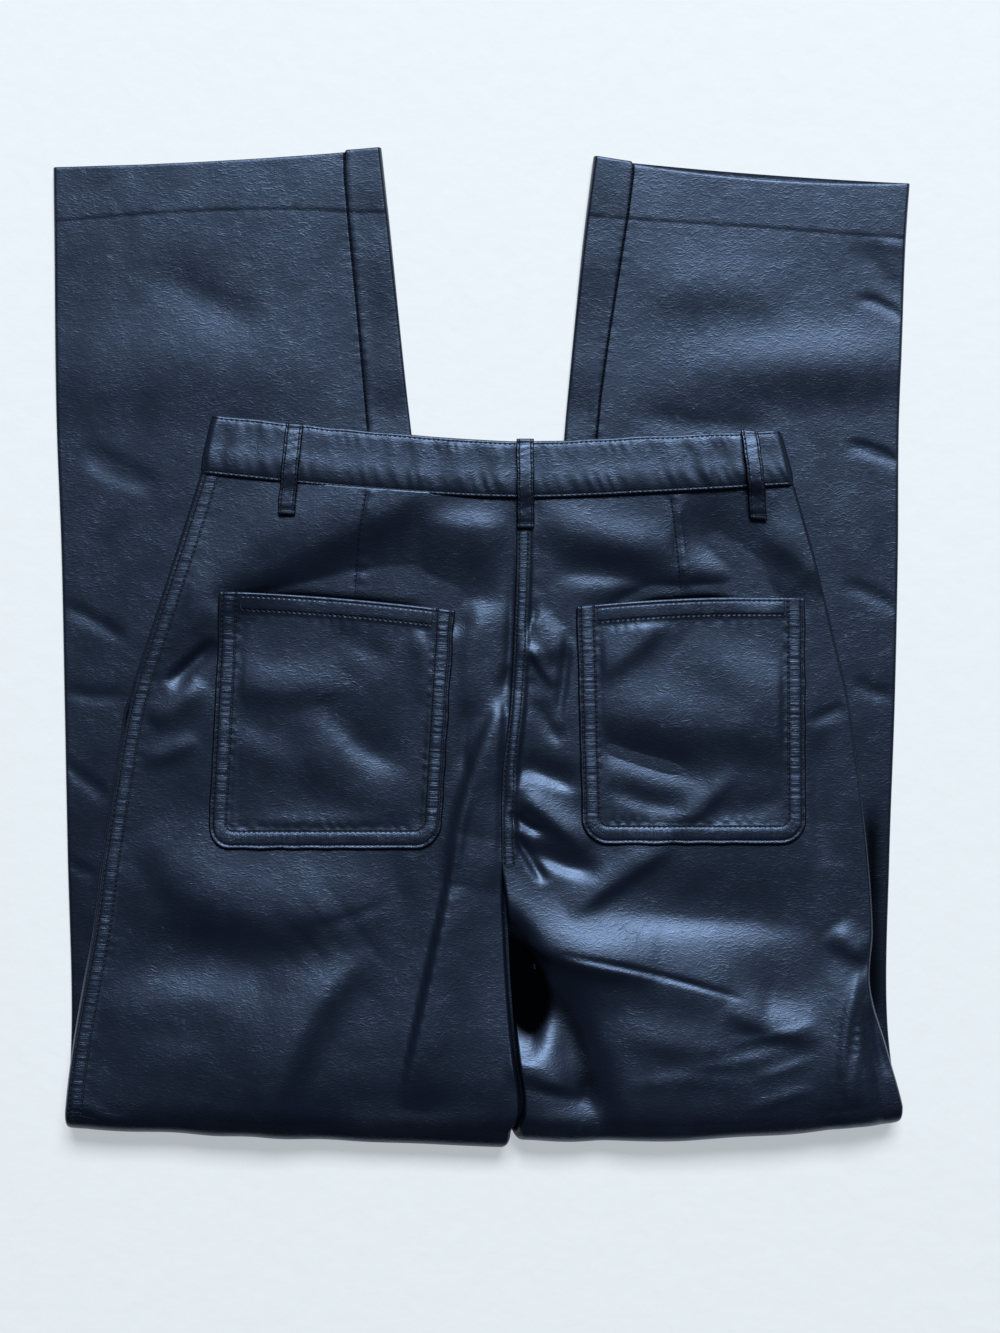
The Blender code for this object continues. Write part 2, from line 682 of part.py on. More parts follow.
def add_closure():
    """The fly's facing on the hidden front, and the button of the waistband."""
    seam_y = band_point(band_share(FLY_X), 0.0, 1.0)[1] - FLY_INSET
    outer = CORE_UNDERSIDE - GAP - CLOTH
    rows = []
    for down in FLY_DOWNS:
        y = seam_y - FLY_LENGTH * down
        width = FLY_WIDTH * mix(0.2, 1.0, round_off((1.0 - down) / 0.2))
        rows.append([Vector((FLY_X - width * across, y, outer)) for across in (0.0, 0.5, 1.0)])
    sheet("fly_placket", rows, CLOTH)

    work = bmesh.new()
    bmesh.ops.create_cone(
        work, cap_ends=True, segments=24, radius1=BUTTON_RADIUS, radius2=BUTTON_RADIUS, depth=BUTTON_DEPTH
    )
    mesh = bpy.data.meshes.new("waist_button")
    work.to_mesh(mesh)
    work.free()
    button = new_object("waist_button", mesh, BUTTON_COLOUR, 0.35)
    x, y = band_point(band_share(FLY_X + CLOSURE_END - BUTTON_INSET), 0.5, 1.0)
    button.location = (x, y, BAND_LAP - GAP - BUTTON_DEPTH / 2)


def main():
    for item in list(bpy.data.objects):
        bpy.data.objects.remove(item)
    seats = add_legs()
    add_core()
    add_waistband()
    trees = [tree_of(rows) for rows in seats.values()]
    add_pockets(trees)
    add_loops(trees)
    add_closure()


main()
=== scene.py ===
# %% [markdown]
# # Faux leather trousers, folded in half
# Straight utility trousers in a thin cloth with a dark, leather-like coating lie face down on a
# pale surface, folded across the thighs. Seat, waistband and back pockets are on top, and the lower
# legs underneath stick out beyond the waist. The packed parts hold the real sizes. This script
# makes the look around them: every panel as a fine sheet with its creases, and then the seams, the
# stitches and the finish.
#
# Everything is worked out in millimetres, and only the last step of a mesh turns them into metres.
# X runs across the trousers, Y from the fold at the thighs towards waist and hems, and Z up. Left
# and right are as seen from above, with the waist away from the reader.

import math

import bpy
import numpy as np
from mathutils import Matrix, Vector
from mathutils.bvhtree import BVHTree


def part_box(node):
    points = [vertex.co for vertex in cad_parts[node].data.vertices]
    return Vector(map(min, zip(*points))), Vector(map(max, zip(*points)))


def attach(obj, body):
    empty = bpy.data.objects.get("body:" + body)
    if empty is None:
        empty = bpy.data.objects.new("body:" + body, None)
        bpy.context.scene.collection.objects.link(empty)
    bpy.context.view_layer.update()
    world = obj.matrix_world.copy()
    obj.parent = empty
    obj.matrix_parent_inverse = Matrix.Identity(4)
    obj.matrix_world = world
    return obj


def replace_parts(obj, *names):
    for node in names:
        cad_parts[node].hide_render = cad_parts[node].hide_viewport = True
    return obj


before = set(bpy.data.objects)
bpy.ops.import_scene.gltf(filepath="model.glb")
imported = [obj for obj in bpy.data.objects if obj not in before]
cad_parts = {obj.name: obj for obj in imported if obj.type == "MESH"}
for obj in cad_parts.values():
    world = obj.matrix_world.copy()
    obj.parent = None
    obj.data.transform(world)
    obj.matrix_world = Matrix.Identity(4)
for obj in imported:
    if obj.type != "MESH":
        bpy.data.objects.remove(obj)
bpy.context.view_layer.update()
MM = 0.001
print("packed parts:", sorted(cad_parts))

# %% [markdown]
# ## Camera
# One looks at the trousers from straight above, as when they have just been laid down. A camera
# without perspective would give a flat plan of them. An eye does have perspective, so this one has
# an ordinary lens and stands a little more than a metre up. A new camera looks straight down by
# itself.

# %% Camera
CAMERA_PLACE = (0.0117, -0.0124, 1.15)
CAMERA_LENS = 48.5

camera_data = bpy.data.cameras.new("camera")
camera_data.lens = CAMERA_LENS
camera = bpy.data.objects.new("camera", camera_data)
camera.location = CAMERA_PLACE
bpy.context.scene.collection.objects.link(camera)
bpy.context.scene.camera = camera
print("camera:", CAMERA_LENS, "mm lens,", CAMERA_PLACE[2], "m up")

# %% [markdown]
# ## Light
# A garment that lies flat gets its shape from light that comes in low from one side. Dark coated
# cloth shows almost no colour of its own: what the eye reads are reflections of the brightest thing
# in the room, on every slope that faces it. Several small lamps could light it too, but each would
# leave its own bright spot on every crease. One large, cool window beyond the hems gives each slope
# one soft streak. A weak light from all round keeps the hollows readable.

# %% Window, and light from all round
WINDOW_PLACE = Vector((0.90, 5.80, 6.70))
WINDOW_SIZE = (4.6, 3.0)
WINDOW_POWER = 1120.0

window_data = bpy.data.lights.new("window", "AREA")
window_data.shape = "RECTANGLE"
window_data.size, window_data.size_y = WINDOW_SIZE
window_data.energy = WINDOW_POWER
window_data.color = (0.90, 0.96, 1.0)
window = bpy.data.objects.new("window", window_data)
window.location = WINDOW_PLACE
window.rotation_euler = (-WINDOW_PLACE).to_track_quat("-Z", "Y").to_euler()
bpy.context.scene.collection.objects.link(window)

world = bpy.data.worlds.new("soft light all round")
world.use_nodes = True
world.node_tree.nodes["Background"].inputs["Color"].default_value = (0.80, 0.90, 1.0, 1.0)
world.node_tree.nodes["Background"].inputs["Strength"].default_value = 0.05
bpy.context.scene.world = world
bpy.context.scene.view_settings.view_transform = "Standard"
print("window:", round(WINDOW_PLACE.length, 1), "m away,", WINDOW_POWER, "W")

# %% [markdown]
# ## Finishes
# A finish is a small network of shader nodes. It could be joined up by hand in the shader editor,
# but then it couldn't be read like a recipe. The few helpers here keep such a recipe short: one
# adds any node and joins it up, and the others are sums, products, a bell and patterns.


# %% Adding a node
def node(tree, kind, inputs, **settings):
    """Adds a shader node. An input may be a number, a colour or another node's output."""
    added = tree.nodes.new("ShaderNode" + kind)
    for name, value in settings.items():
        setattr(added, name, value)
    for socket, value in inputs.items():
        if isinstance(value, bpy.types.NodeSocket):
            tree.links.new(value, added.inputs[socket])
        else:
            added.inputs[socket].default_value = value
    return added


print(node.__doc__)


# %% Sums, products and a bell
def calc(tree, operation, *values):
    return node(tree, "Math", dict(enumerate(values)), operation=operation).outputs[0]


def total(tree, *values):
    result = values[0]
    for value in values[1:]:
        result = calc(tree, "ADD", result, value)
    return result


def product(tree, *values):
    result = values[0]
    for value in values[1:]:
        result = calc(tree, "MULTIPLY", result, value)
    return result


def bell(tree, value, width):
    """1 where value is 0, and falling away over the width."""
    scaled = calc(tree, "DIVIDE", value, width)
    return calc(tree, "EXPONENT", product(tree, scaled, scaled, -1.0))


print("a bell is down to", round(math.exp(-1), 2), "at its width")


# %% Patterns and places
def noise(tree, place, scale, detail):
    """A cloudy pattern between 0 and 1. Its clouds are about 1 / scale millimetres wide."""
    return node(tree, "TexNoise", {"Vector": place, "Scale": scale, "Detail": detail}).outputs[0]


def noise_along(tree, run, scale):
    """The same along a length only."""
    run = product(tree, run, scale)
    return node(tree, "TexNoise", {"W": run, "Detail": 2.0}, noise_dimensions="1D").outputs[0]


def scaled_place(tree, place, factor):
    return node(tree, "VectorMath", {0: place, "Scale": factor}, operation="SCALE").outputs[0]


print("clouds of a pattern at scale 0.05:", 1 / 0.05, "mm wide")


# %% Starting a finish
def new_finish(name):
    """A new material, its node tree, its main shader and the place on the object in millimetres."""
    material = bpy.data.materials.new(name)
    material.use_nodes = True
    tree = material.node_tree
    place = node(tree, "TexCoord", {}).outputs["Object"]
    return material, tree, tree.nodes["Principled BSDF"], scaled_place(tree, place, 1 / MM)


def add_bump(tree, shader, height, distance):
    bump = node(tree, "Bump", {"Height": height, "Strength": 1.0, "Distance": distance})
    tree.links.new(bump.outputs[0], shader.inputs["Normal"])


def mixed_colour(tree, factor, first, second):
    colours = {"Factor": factor, "A": first, "B": second}
    return node(tree, "Mix", colours, data_type="RGBA").outputs["Result"]


print("patterns are measured in units of", MM, "m")

# %% [markdown]
# ## Grain of the coating
# The coating is pressed with a grain like that of hide: pebbles about a millimetre across, and fine
# wavy lines, mostly across the leg, that deepen where the cloth has been bent. A scanned texture
# could show it, but it would repeat. Displacing the mesh would take millions of points for
# something a tenth of a millimetre high. So it is bump, from clouds of three sizes. For the lines,
# the place is first pushed about by a slow cloud and then stretched, and each line runs where the
# cloud crosses its middle value.

# %% Grain
PEBBLE_HEIGHT = 0.022
LINE_HEIGHT = 0.60
UNEVEN_HEIGHT = 0.16
PUSH = 7.0
LEAST_WEAR = 0.04


def grain_height(tree, in_mm, wear):
    """Height of the grain in millimetres."""
    push = node(tree, "TexNoise", {"Vector": in_mm, "Scale": 0.12, "Detail": 2.0}).outputs["Color"]
    push = scaled_place(tree, push, PUSH)
    pushed = node(tree, "VectorMath", {0: in_mm, 1: push}, operation="ADD").outputs[0]
    stretched = node(tree, "Mapping", {"Vector": pushed, "Scale": (0.30, 1.0, 1.0)}).outputs[0]
    lines = calc(tree, "ABSOLUTE", calc(tree, "SUBTRACT", noise(tree, stretched, 0.62, 1.5), 0.5))
    return total(
        tree,
        product(tree, noise(tree, in_mm, 1.1, 1.0), PEBBLE_HEIGHT),
        product(tree, lines, calc(tree, "SUBTRACT", wear, LEAST_WEAR), LINE_HEIGHT),
        product(tree, noise(tree, in_mm, 0.07, 2.0), UNEVEN_HEIGHT),
    )


print("grain: pebbles", PEBBLE_HEIGHT, "mm and lines up to about", LINE_HEIGHT / 4, "mm high")

# %% [markdown]
# ## Seams in the finish
# On a sewn seam each row of stitches pulls a groove into the cloth, the needle leaves holes, and
# between two rows the cloth gathers into short puckers, like the rungs of a ladder. All that is too
# small for the mesh. Painting it by hand would take as long as sewing it. So each mesh stores four
# numbers on its points, and the finish draws the seam from them:
#
# - row: 0 on the first row of stitches and 1 on the second
# - run: the length along the seam, in millimetres
# - near: 1 at a seam that is drawn in full, about half where it has grooves and holes but no rungs, else 0
# - painted shade: up to 1 where shade is painted, in sunken folds and gaps, at edges and seams

# %% Stitch rows and rungs
STITCH_PITCH = 3.2
LADDER_PITCH = 3.9
ROW_SHARE = 0.075
HOLE_FROM = 0.31
FULL_SEAM = 0.8
GROOVE_DEPTH, HOLE_DEPTH, RUNG_HEIGHT = 0.18, 0.30, 0.16
# Shade painted into a stitch groove; a needle hole gets full painted shade.
GROOVE_SHADE = 0.62


def seam_value(tree, name):
    return node(tree, "Attribute", {}, attribute_name="seam_" + name).outputs["Fac"]


def stitch_rows(tree, row, run):
    """1 in the grooves of the two rows, and 1 in their needle holes."""
    second = calc(tree, "SUBTRACT", row, 1.0)
    groove = calc(tree, "MAXIMUM", bell(tree, row, ROW_SHARE), bell(tree, second, ROW_SHARE))
    step = calc(tree, "FRACT", calc(tree, "DIVIDE", run, STITCH_PITCH))
    step = calc(tree, "ABSOLUTE", calc(tree, "SUBTRACT", step, 0.5))
    return groove, product(tree, calc(tree, "GREATER_THAN", step, HOLE_FROM), groove)


print("a needle hole takes up", round((0.5 - HOLE_FROM) * 2 * STITCH_PITCH, 1), "mm of each stitch")


# %% Rungs, and the whole seam
def rungs(tree, row, run, near):
    """Puckers across, between the two rows: a wave whose spacing and height are uneven."""
    spacing = product(tree, noise_along(tree, run, 0.16), 14.0)
    wave = calc(tree, "SINE", calc(tree, "MULTIPLY_ADD", run, 2 * math.pi / LADDER_PITCH, spacing))
    uneven = calc(tree, "MULTIPLY_ADD", noise_along(tree, run, 0.05), 0.7, -0.12)
    in_full = calc(tree, "GREATER_THAN", near, FULL_SEAM)
    between = bell(tree, calc(tree, "SUBTRACT", row, 0.5), 0.42)
    return product(tree, wave, uneven, in_full, between)


def reaching_one(tree, near, factor):
    return calc(tree, "MINIMUM", product(tree, near, factor), 1.0)


def seam_height(tree, row, run, near):
    """Height of the seam's detail, and the shade painted into its grooves and needle holes."""
    groove, hole = stitch_rows(tree, row, run)
    height = total(
        tree,
        product(tree, groove, -GROOVE_DEPTH),
        product(tree, hole, -HOLE_DEPTH),
        product(tree, rungs(tree, row, run, near), RUNG_HEIGHT),
    )
    # Painted shade in the grooves and needle holes.
    dark = calc(tree, "MAXIMUM", hole, product(tree, groove, GROOVE_SHADE))
    height = product(tree, height, reaching_one(tree, near, 1.7))
    return height, product(tree, dark, reaching_one(tree, near, 1.5))


print("in 100 mm:", round(100 / STITCH_PITCH), "stitches and", round(100 / LADDER_PITCH), "rungs")

# %% [markdown]
# ## The coated cloth
# The coating is nearly black with some navy in it, and its gloss is that of a handled jacket, not
# of a wet one. Colour and gloss drift a little over a hand's width, as they do on cloth that has
# been worn. A rather high index of refraction with a bluish tint makes the reflections strong and
# cool while the cloth itself stays dark. Shade is painted in: in the grooves and needle holes of
# seams the colour goes to near black, and in sunken folds and gaps and at the edges of pockets and
# loops the shine goes down as well.

# %% Coated cloth
DARK_NAVY, LIGHT_NAVY = (0.0014, 0.0028, 0.0076, 1.0), (0.0036, 0.0052, 0.0125, 1.0)
# Colour of the painted shade.
PAINTED_SHADE_TONE = (0.0005, 0.0006, 0.001, 1.0)
ROUGHNESS, DRIFT_ROUGH, WEAR_ROUGH = 0.405, 0.10, 0.14


def coated_cloth(name, dark, light, roughness):
    material, tree, shader, in_mm = new_finish(name)
    drift = noise(tree, in_mm, 0.018, 3.0)
    wear = noise(tree, in_mm, 0.05, 4.0)
    row, run, near, painted_shade = [seam_value(tree, key) for key in ("row", "run", "near", "painted_shade")]
    seam, painted_row_shade = seam_height(tree, row, run, near)
    add_bump(tree, shader, total(tree, grain_height(tree, in_mm, wear), seam), MM)
    tone = mixed_colour(tree, drift, dark, light)
    # Painted shade: the colour goes towards near black in seam grooves, needle holes and shaded places.
    tone = mixed_colour(tree, calc(tree, "MAXIMUM", painted_row_shade, painted_shade), tone, PAINTED_SHADE_TONE)
    tree.links.new(tone, shader.inputs["Base Color"])
    uneven = [product(tree, drift, DRIFT_ROUGH), product(tree, wear, WEAR_ROUGH)]
    rough = total(tree, *uneven, roughness - (DRIFT_ROUGH + WEAR_ROUGH) / 2)
    tree.links.new(rough, shader.inputs["Roughness"])
    # Painted shade also lowers the shine, to half at its darkest.
    tree.links.new(calc(tree, "MULTIPLY_ADD", painted_shade, -0.5, 0.5), shader.inputs["Specular IOR Level"])
    shader.inputs["IOR"].default_value = 1.79
    shader.inputs["Specular Tint"].default_value = (0.46, 0.64, 1.0, 1.0)
    return material


leather = coated_cloth("coated_cloth", DARK_NAVY, LIGHT_NAVY, ROUGHNESS)
print("coated cloth:", len(leather.node_tree.nodes), "shader nodes")

# %% [markdown]
# ## Thread, button and floor
# The thread is dyed to match and is a little matt. The button is smooth moulded plastic. Both need
# only a fine unevenness in height and colour. The floor is plain and pale, and it glows a little by
# itself: a bright room sends light back from every wall, and without that the shadows on the floor
# would be too dark.


# %% Plain finishes
def plain_finish(name, colour, roughness, bump_scale, bump_height, darkest=0.82):
    material, tree, shader, in_mm = new_finish(name)
    uneven = noise(tree, in_mm, bump_scale, 3.0)
    add_bump(tree, shader, uneven, bump_height * MM)
    darker = tuple(darkest * part for part in colour[:3]) + (1.0,)
    tree.links.new(mixed_colour(tree, uneven, darker, colour), shader.inputs["Base Color"])
    shader.inputs["Roughness"].default_value = roughness
    return material


thread = plain_finish("thread", (0.007, 0.009, 0.018, 1.0), 0.64, 3.0, 0.10)
button_finish = plain_finish("button_finish", (0.012, 0.012, 0.016, 1.0), 0.30, 0.5, 0.05)
floor_finish = plain_finish("floor_finish", (0.40, 0.41, 0.42, 1.0), 0.80, 0.07, 0.5, 0.95)
floor_glow = floor_finish.node_tree.nodes["Principled BSDF"].inputs
floor_glow["Emission Color"].default_value = (0.88, 0.95, 1.0, 1.0)
floor_glow["Emission Strength"].default_value = 0.48
print("plain finishes:", thread.name, button_finish.name, floor_finish.name)

# %% Floor
HALF_FLOOR, FLOOR_Z = 3, -0.0004

corners = [(x * HALF_FLOOR, y * HALF_FLOOR, FLOOR_Z) for x, y in ((-1, -1), (1, -1), (1, 1), (-1, 1))]
floor_mesh = bpy.data.meshes.new("floor")
floor_mesh.from_pydata(corners, [], [(0, 1, 2, 3)])
floor_mesh.materials.append(floor_finish)
floor = bpy.data.objects.new("floor", floor_mesh)
bpy.context.scene.collection.objects.link(floor)
print("floor:", 2 * HALF_FLOOR, "m square")

# %% [markdown]
# ## Tables and curves
# A panel's outline could be drawn point by point, but a maker measures it at a few places: waist,
# hip, thigh, hem. Each row of a table is one such place, and a smooth curve runs through the rows.
# The same tables shape the packed parts, so the look and the parts fit each other.


# %% Tables
def table(columns, *rows):
    names = columns.split()
    return [dict(zip(names, row)) for row in rows]


print("a row of a table:", table("place y", ("hem", 318))[0])


# %% A curve through a table


def along(rows, column, place, key="y"):
    """A table's column at places along its key column, on a curve through its rows."""
    keys = np.array([row[key] for row in rows], float)
    values = np.array([row[column] for row in rows], float)
    last = len(rows) - 1
    before, after = np.maximum(np.arange(last + 1) - 1, 0), np.minimum(np.arange(last + 1) + 1, last)
    slopes = (values[after] - values[before]) / (keys[after] - keys[before])
    i = np.clip(np.searchsorted(keys, place, side="right") - 1, 0, last - 1)
    span = keys[i + 1] - keys[i]
    t = (place - keys[i]) / span
    curve = (
        (1 + 2 * t) * (1 - t) ** 2 * values[i]
        + t * (1 - t) ** 2 * span * slopes[i]
        + t * t * (3 - 2 * t) * values[i + 1]
        - t * t * (1 - t) * span * slopes[i + 1]
    )
    straight = values[i] + (values[i + 1] - values[i]) * t
    return np.where((t < 0) | (t > 1), straight, curve)


halfway = along(table("y width", (0, 10), (10, 20), (20, 22)), "width", 5)
print("halfway between 10 and 20 on a curve that then flattens:", round(float(halfway), 2))

# %% Sections over the seat and down the lower legs
SEAT = table(
    "place y left left_in right_in right crown",
    ("fold", -312, -263, 15, 16.5, 266, 20.4),
    ("fold shoulder", -294, -263, 24.5, 25.8, 267, 24.2),
    ("lower thigh", -255, -259, 20.5, 21.9, 257, 21.6),
    ("mid thigh", -215, -253, 17, 18.6, 246.5, 17.4),
    ("thigh", -180, -247, 15, 16.8, 248.5, 14.8),
    ("crotch", -135, -241.5, 13, 13, 246, 12.9),
    ("pocket foot", -85, -234, 13, 13, 240.5, 11.6),
    ("pocket middle", -35, -225, 18, 18, 233.5, 11.2),
    ("pocket mouth", 15, -209, 20.5, 20.5, 222, 10.5),
    ("hip", 60, -194.5, 22, 22, 211, 10.7),
    ("waist seam", 112, -178, 22, 22, 196, 12.0),
)
LEGS = table(
    "place y left left_in right_in right",
    ("fold", -310, -265, 13, 17, 267.5),
    ("thigh", -235, -262, 3, 23, 259),
    ("crotch", -135, -264.5, -10, 31, 260.5),
    ("seat", -35, -266.5, -23, 39, 264),
    ("hip", 60, -268.5, -35, 47, 266),
    ("waist", 138, -271.5, -45, 53, 266.5),
    ("shin", 192, -272.5, -51, 58, 268.5),
    ("cuff", 262, -273, -58, 65, 271),
    ("hem", 318, -273.5, -64, 72, 275),
)
print("a lower leg is", LEGS[-1]["left_in"] - LEGS[-1]["left"], "mm across at its hem")

# %% Fold, hems and waistband
LINES = table(
    "line outer middle inner",
    ("left fold", -304, -311, -317),
    ("right fold", -300, -311, -312),
    ("left hem", 305.6, 309.5, 317),
    ("right hem", 296.3, 302.5, 312),
    ("right top hem", 295.2, 298.2, 311.5),
)
BAND = table(
    "place seam_x seam_y free_x free_y",
    ("left side", -178, 111, -170.7, 147),
    ("left dart", -80, 101.3, -74, 137),
    ("centre back", 22, 95.5, 22, 130.3),
    ("right dart", 112, 98.8, 107, 133.7),
    ("right side", 198, 103.7, 189.5, 137),
)
WAIST_LEFT, WAIST_RIGHT = BAND[0]["seam_x"], BAND[-1]["seam_x"]
WAIST = float(WAIST_RIGHT - WAIST_LEFT)
CENTRE_BACK = 22.0
print("sections:", len(SEAT), "over the seat and", len(LEGS), "down a lower leg; waist:", WAIST, "mm across")


# %% Small curves
def mix(start, end, share):
    return start + (end - start) * share


def smooth(value):
    value = np.clip(value, 0.0, 1.0)
    return value * value * (3.0 - 2.0 * value)


def round_off(share):
    """Height of a quarter ellipse, from 0 at its edge to 1 where it is full."""
    return np.sqrt(1.0 - (1.0 - np.clip(share, 0.0, 1.0)) ** 2)


def hump(value, width):
    return np.exp(-((value / width) ** 2))


def waver(value, pitch, seed):
    """An uneven ripple between about -1 and 1 along a length."""
    turn = 2 * math.pi * value / pitch
    slow = np.sin(turn * 0.23 + seed * 1.7) + np.sin(turn * 0.091 + seed * 3.1)
    return np.sin(turn + slow * 1.3 + seed) * (0.62 + 0.38 * np.sin(turn * 0.137 + seed * 2.3))


def line_y(name, share):
    """Y of one of the LINES, a share of the way from the outer side to the inner one."""
    line = next(row for row in LINES if row["line"] == name)
    return (
        line["outer"] * (1 - share) * (1 - 2 * share)
        + line["middle"] * 4 * share * (1 - share)
        + line["inner"] * share * (2 * share - 1)
    )


print("folded length on the left:", line_y("left hem", 0.5) - line_y("left fold", 0.5), "mm")

# %% [markdown]
# ## Creases
# Coated cloth doesn't wrinkle like cotton. It bends in broad, soft swells, with a few crisp creases
# where it is pulled: from the crotch, at the hip, beside the pockets. A cloth simulation finds its
# own folds, but not these ones in these places. So each swell or crease is a row of a table: a bent
# line through three places, how far it lifts or sinks the cloth, and its reach to the left and to
# the right of its way. With two reaches one flank can be steep and the other soft, as on a real
# fold. It fades out at both ends.


# %% Distance to a line
def near_line(x, y, line):
    """For points: the signed distance to a bent line, left of its way positive, and the length along it."""
    line = np.asarray(line, float)
    lengths = np.concatenate([[0.0], np.cumsum(np.hypot(*np.diff(line, axis=0).T))])
    best = np.full(x.shape, np.inf)
    side, run = np.zeros(x.shape), np.zeros(x.shape)
    for i in range(len(line) - 1):
        (x0, y0), (x1, y1) = line[i], line[i + 1]
        run_x, run_y = x1 - x0, y1 - y0
        share = np.clip(((x - x0) * run_x + (y - y0) * run_y) / (run_x**2 + run_y**2), 0.0, 1.0)
        off_x, off_y = x - x0 - share * run_x, y - y0 - share * run_y
        distance = np.hypot(off_x, off_y)
        nearer = distance < best
        best = np.where(nearer, distance, best)
        side = np.where(nearer, np.sign(run_x * off_y - run_y * off_x), side)
        run = np.where(nearer, lengths[i] + share * (lengths[i + 1] - lengths[i]), run)
    return best * side, run, lengths[-1]


beside, so_far, _ = near_line(np.array([3.0]), np.array([5.0]), [(0, 0), (0, 10)])
print("3 mm to the right of a line that runs up:", beside[0], "beside it,", so_far[0], "along it")


# %% Swells and creases as height
FADE_SHARE = 0.35


def bent_line(crease, steps=10):
    t = np.linspace(0.0, 1.0, steps + 1)[:, None]
    start, middle, end = [np.array([crease["x" + n], crease["y" + n]]) for n in "012"]
    control = 2 * middle - (start + end) / 2
    return (1 - t) ** 2 * start + 2 * t * (1 - t) * control + t * t * end


def crease_height(creases, x, y):
    """What the creases of a table add to the height of the cloth at places."""
    height = np.zeros_like(x)
    for crease in creases:
        line = bent_line(crease)
        reach = 3 * max(crease["left"], crease["right"])
        low, high = line.min(axis=0) - reach, line.max(axis=0) + reach
        near = (x > low[0]) & (x < high[0]) & (y > low[1]) & (y < high[1])
        if not near.any():
            continue
        distance, run, length = near_line(x[near], y[near], line)
        width = np.where(distance > 0, crease["left"], crease["right"])
        share = run / length
        fade = np.sqrt(smooth(share / FADE_SHARE) * smooth((1 - share) / FADE_SHARE))
        height[near] += crease["rise"] * fade * hump(distance, width)
    return height


CREASE_COLUMNS = "crease x0 y0 x1 y1 x2 y2 rise left right"
example = table(CREASE_COLUMNS, ("example", 0, 0, 50, 0, 100, 0, 1.0, 20, 5))
beside = crease_height(example, np.full(3, 50.0), np.array([10.0, 0.0, -10.0]))
print("an example crease, 10 mm to its left, on it, 10 mm to its right:", beside.round(2))

# %% Creases of the seat
SEAT_CREASES = table(
    CREASE_COLUMNS,
    ("left swell, hip to band", -214, -18, -154, 40, -6, 112, 5.2, 34, 17),
    ("left hip pull", -200, -24, -187, -12, -169, 5, -3.8, 3.0, 7),
    ("swell under the pull", -210, -48, -194, -38, -176, -22, 2.2, 7, 9),
    ("swell beside the left pocket", -214, -74, -196, -66, -180, -58, 1.4, 7, 6),
    ("swell at the centre loop", -40, 76, -8, 74, 17, 71, 3.0, 12, 26),
    ("ridge beside the left pocket", -1, 30, -7, -4, -8, -44, 1.4, 12, 6),
    ("dent at the centre seam", 19, -12, 13, -28, 15, -44, -1.6, 3, 5),
    ("line beside the left pocket", -9, -34, -12, -58, -11, -84, -1.0, 3, 2.4),
    ("sink beside the lap", 20, 72, 17, -30, 11, -136, -2.0, 3, 3.5),
    ("tall inner fold", 19, -26, -6, -86, -20, -150, 4.6, 18, 5.5),
    ("tall inner fold, lower", -13, -118, -29, -192, -50, -290, 5.0, 24, 2.2),
    ("branch of the inner fold", -3, -88, -10, -124, -19, -160, -1.3, 3.5, 1.8),
    ("swell by the crotch", 13, -96, 8, -124, 6, -156, 1.2, 5, 7),
    ("right swell under the waistband", 30, 83, 78, 68, 124, 60, 2.6, 16, 14),
    ("right hollow above the pocket", 44, 47, 84, 46, 122, 38, -1.7, 12, 7),
    ("swell by the centre seam", 22, 2, 38, -2, 56, 8, 2.4, 24, 10),
    ("streak by the centre seam", 29, 2, 37, -11, 47, -26, 1.6, 3.5, 2.5),
    ("small fold by the right pocket", 54.5, 10, 53.5, -16, 48, -48, -2.0, 1.6, 3.4),
    ("dent by the right pocket", 34, -34, 42, -50, 52, -62, -1.4, 6, 4),
    ("hollow above the crotch swell", 20, -74, 38, -80, 62, -90, -2.4, 9, 5),
    ("crotch swell", 17, -88, 38, -104, 68, -130, 3.2, 9, 6),
    ("hollow right of the dart", 124, 80, 152, 64, 190, 30, -3.6, 22, 15),
    ("swell right of the loop", 178, 74, 198, 60, 222, 38, 2.2, 20, 10),
    ("pull at the right pocket", 206, -50, 218, -43, 231, -37, -0.8, 4, 5),
    ("hollow beside the right pocket", 212, -50, 214, -96, 218, -140, -1.4, 8, 6),
)
print("creases on the seat:", len(SEAT_CREASES))

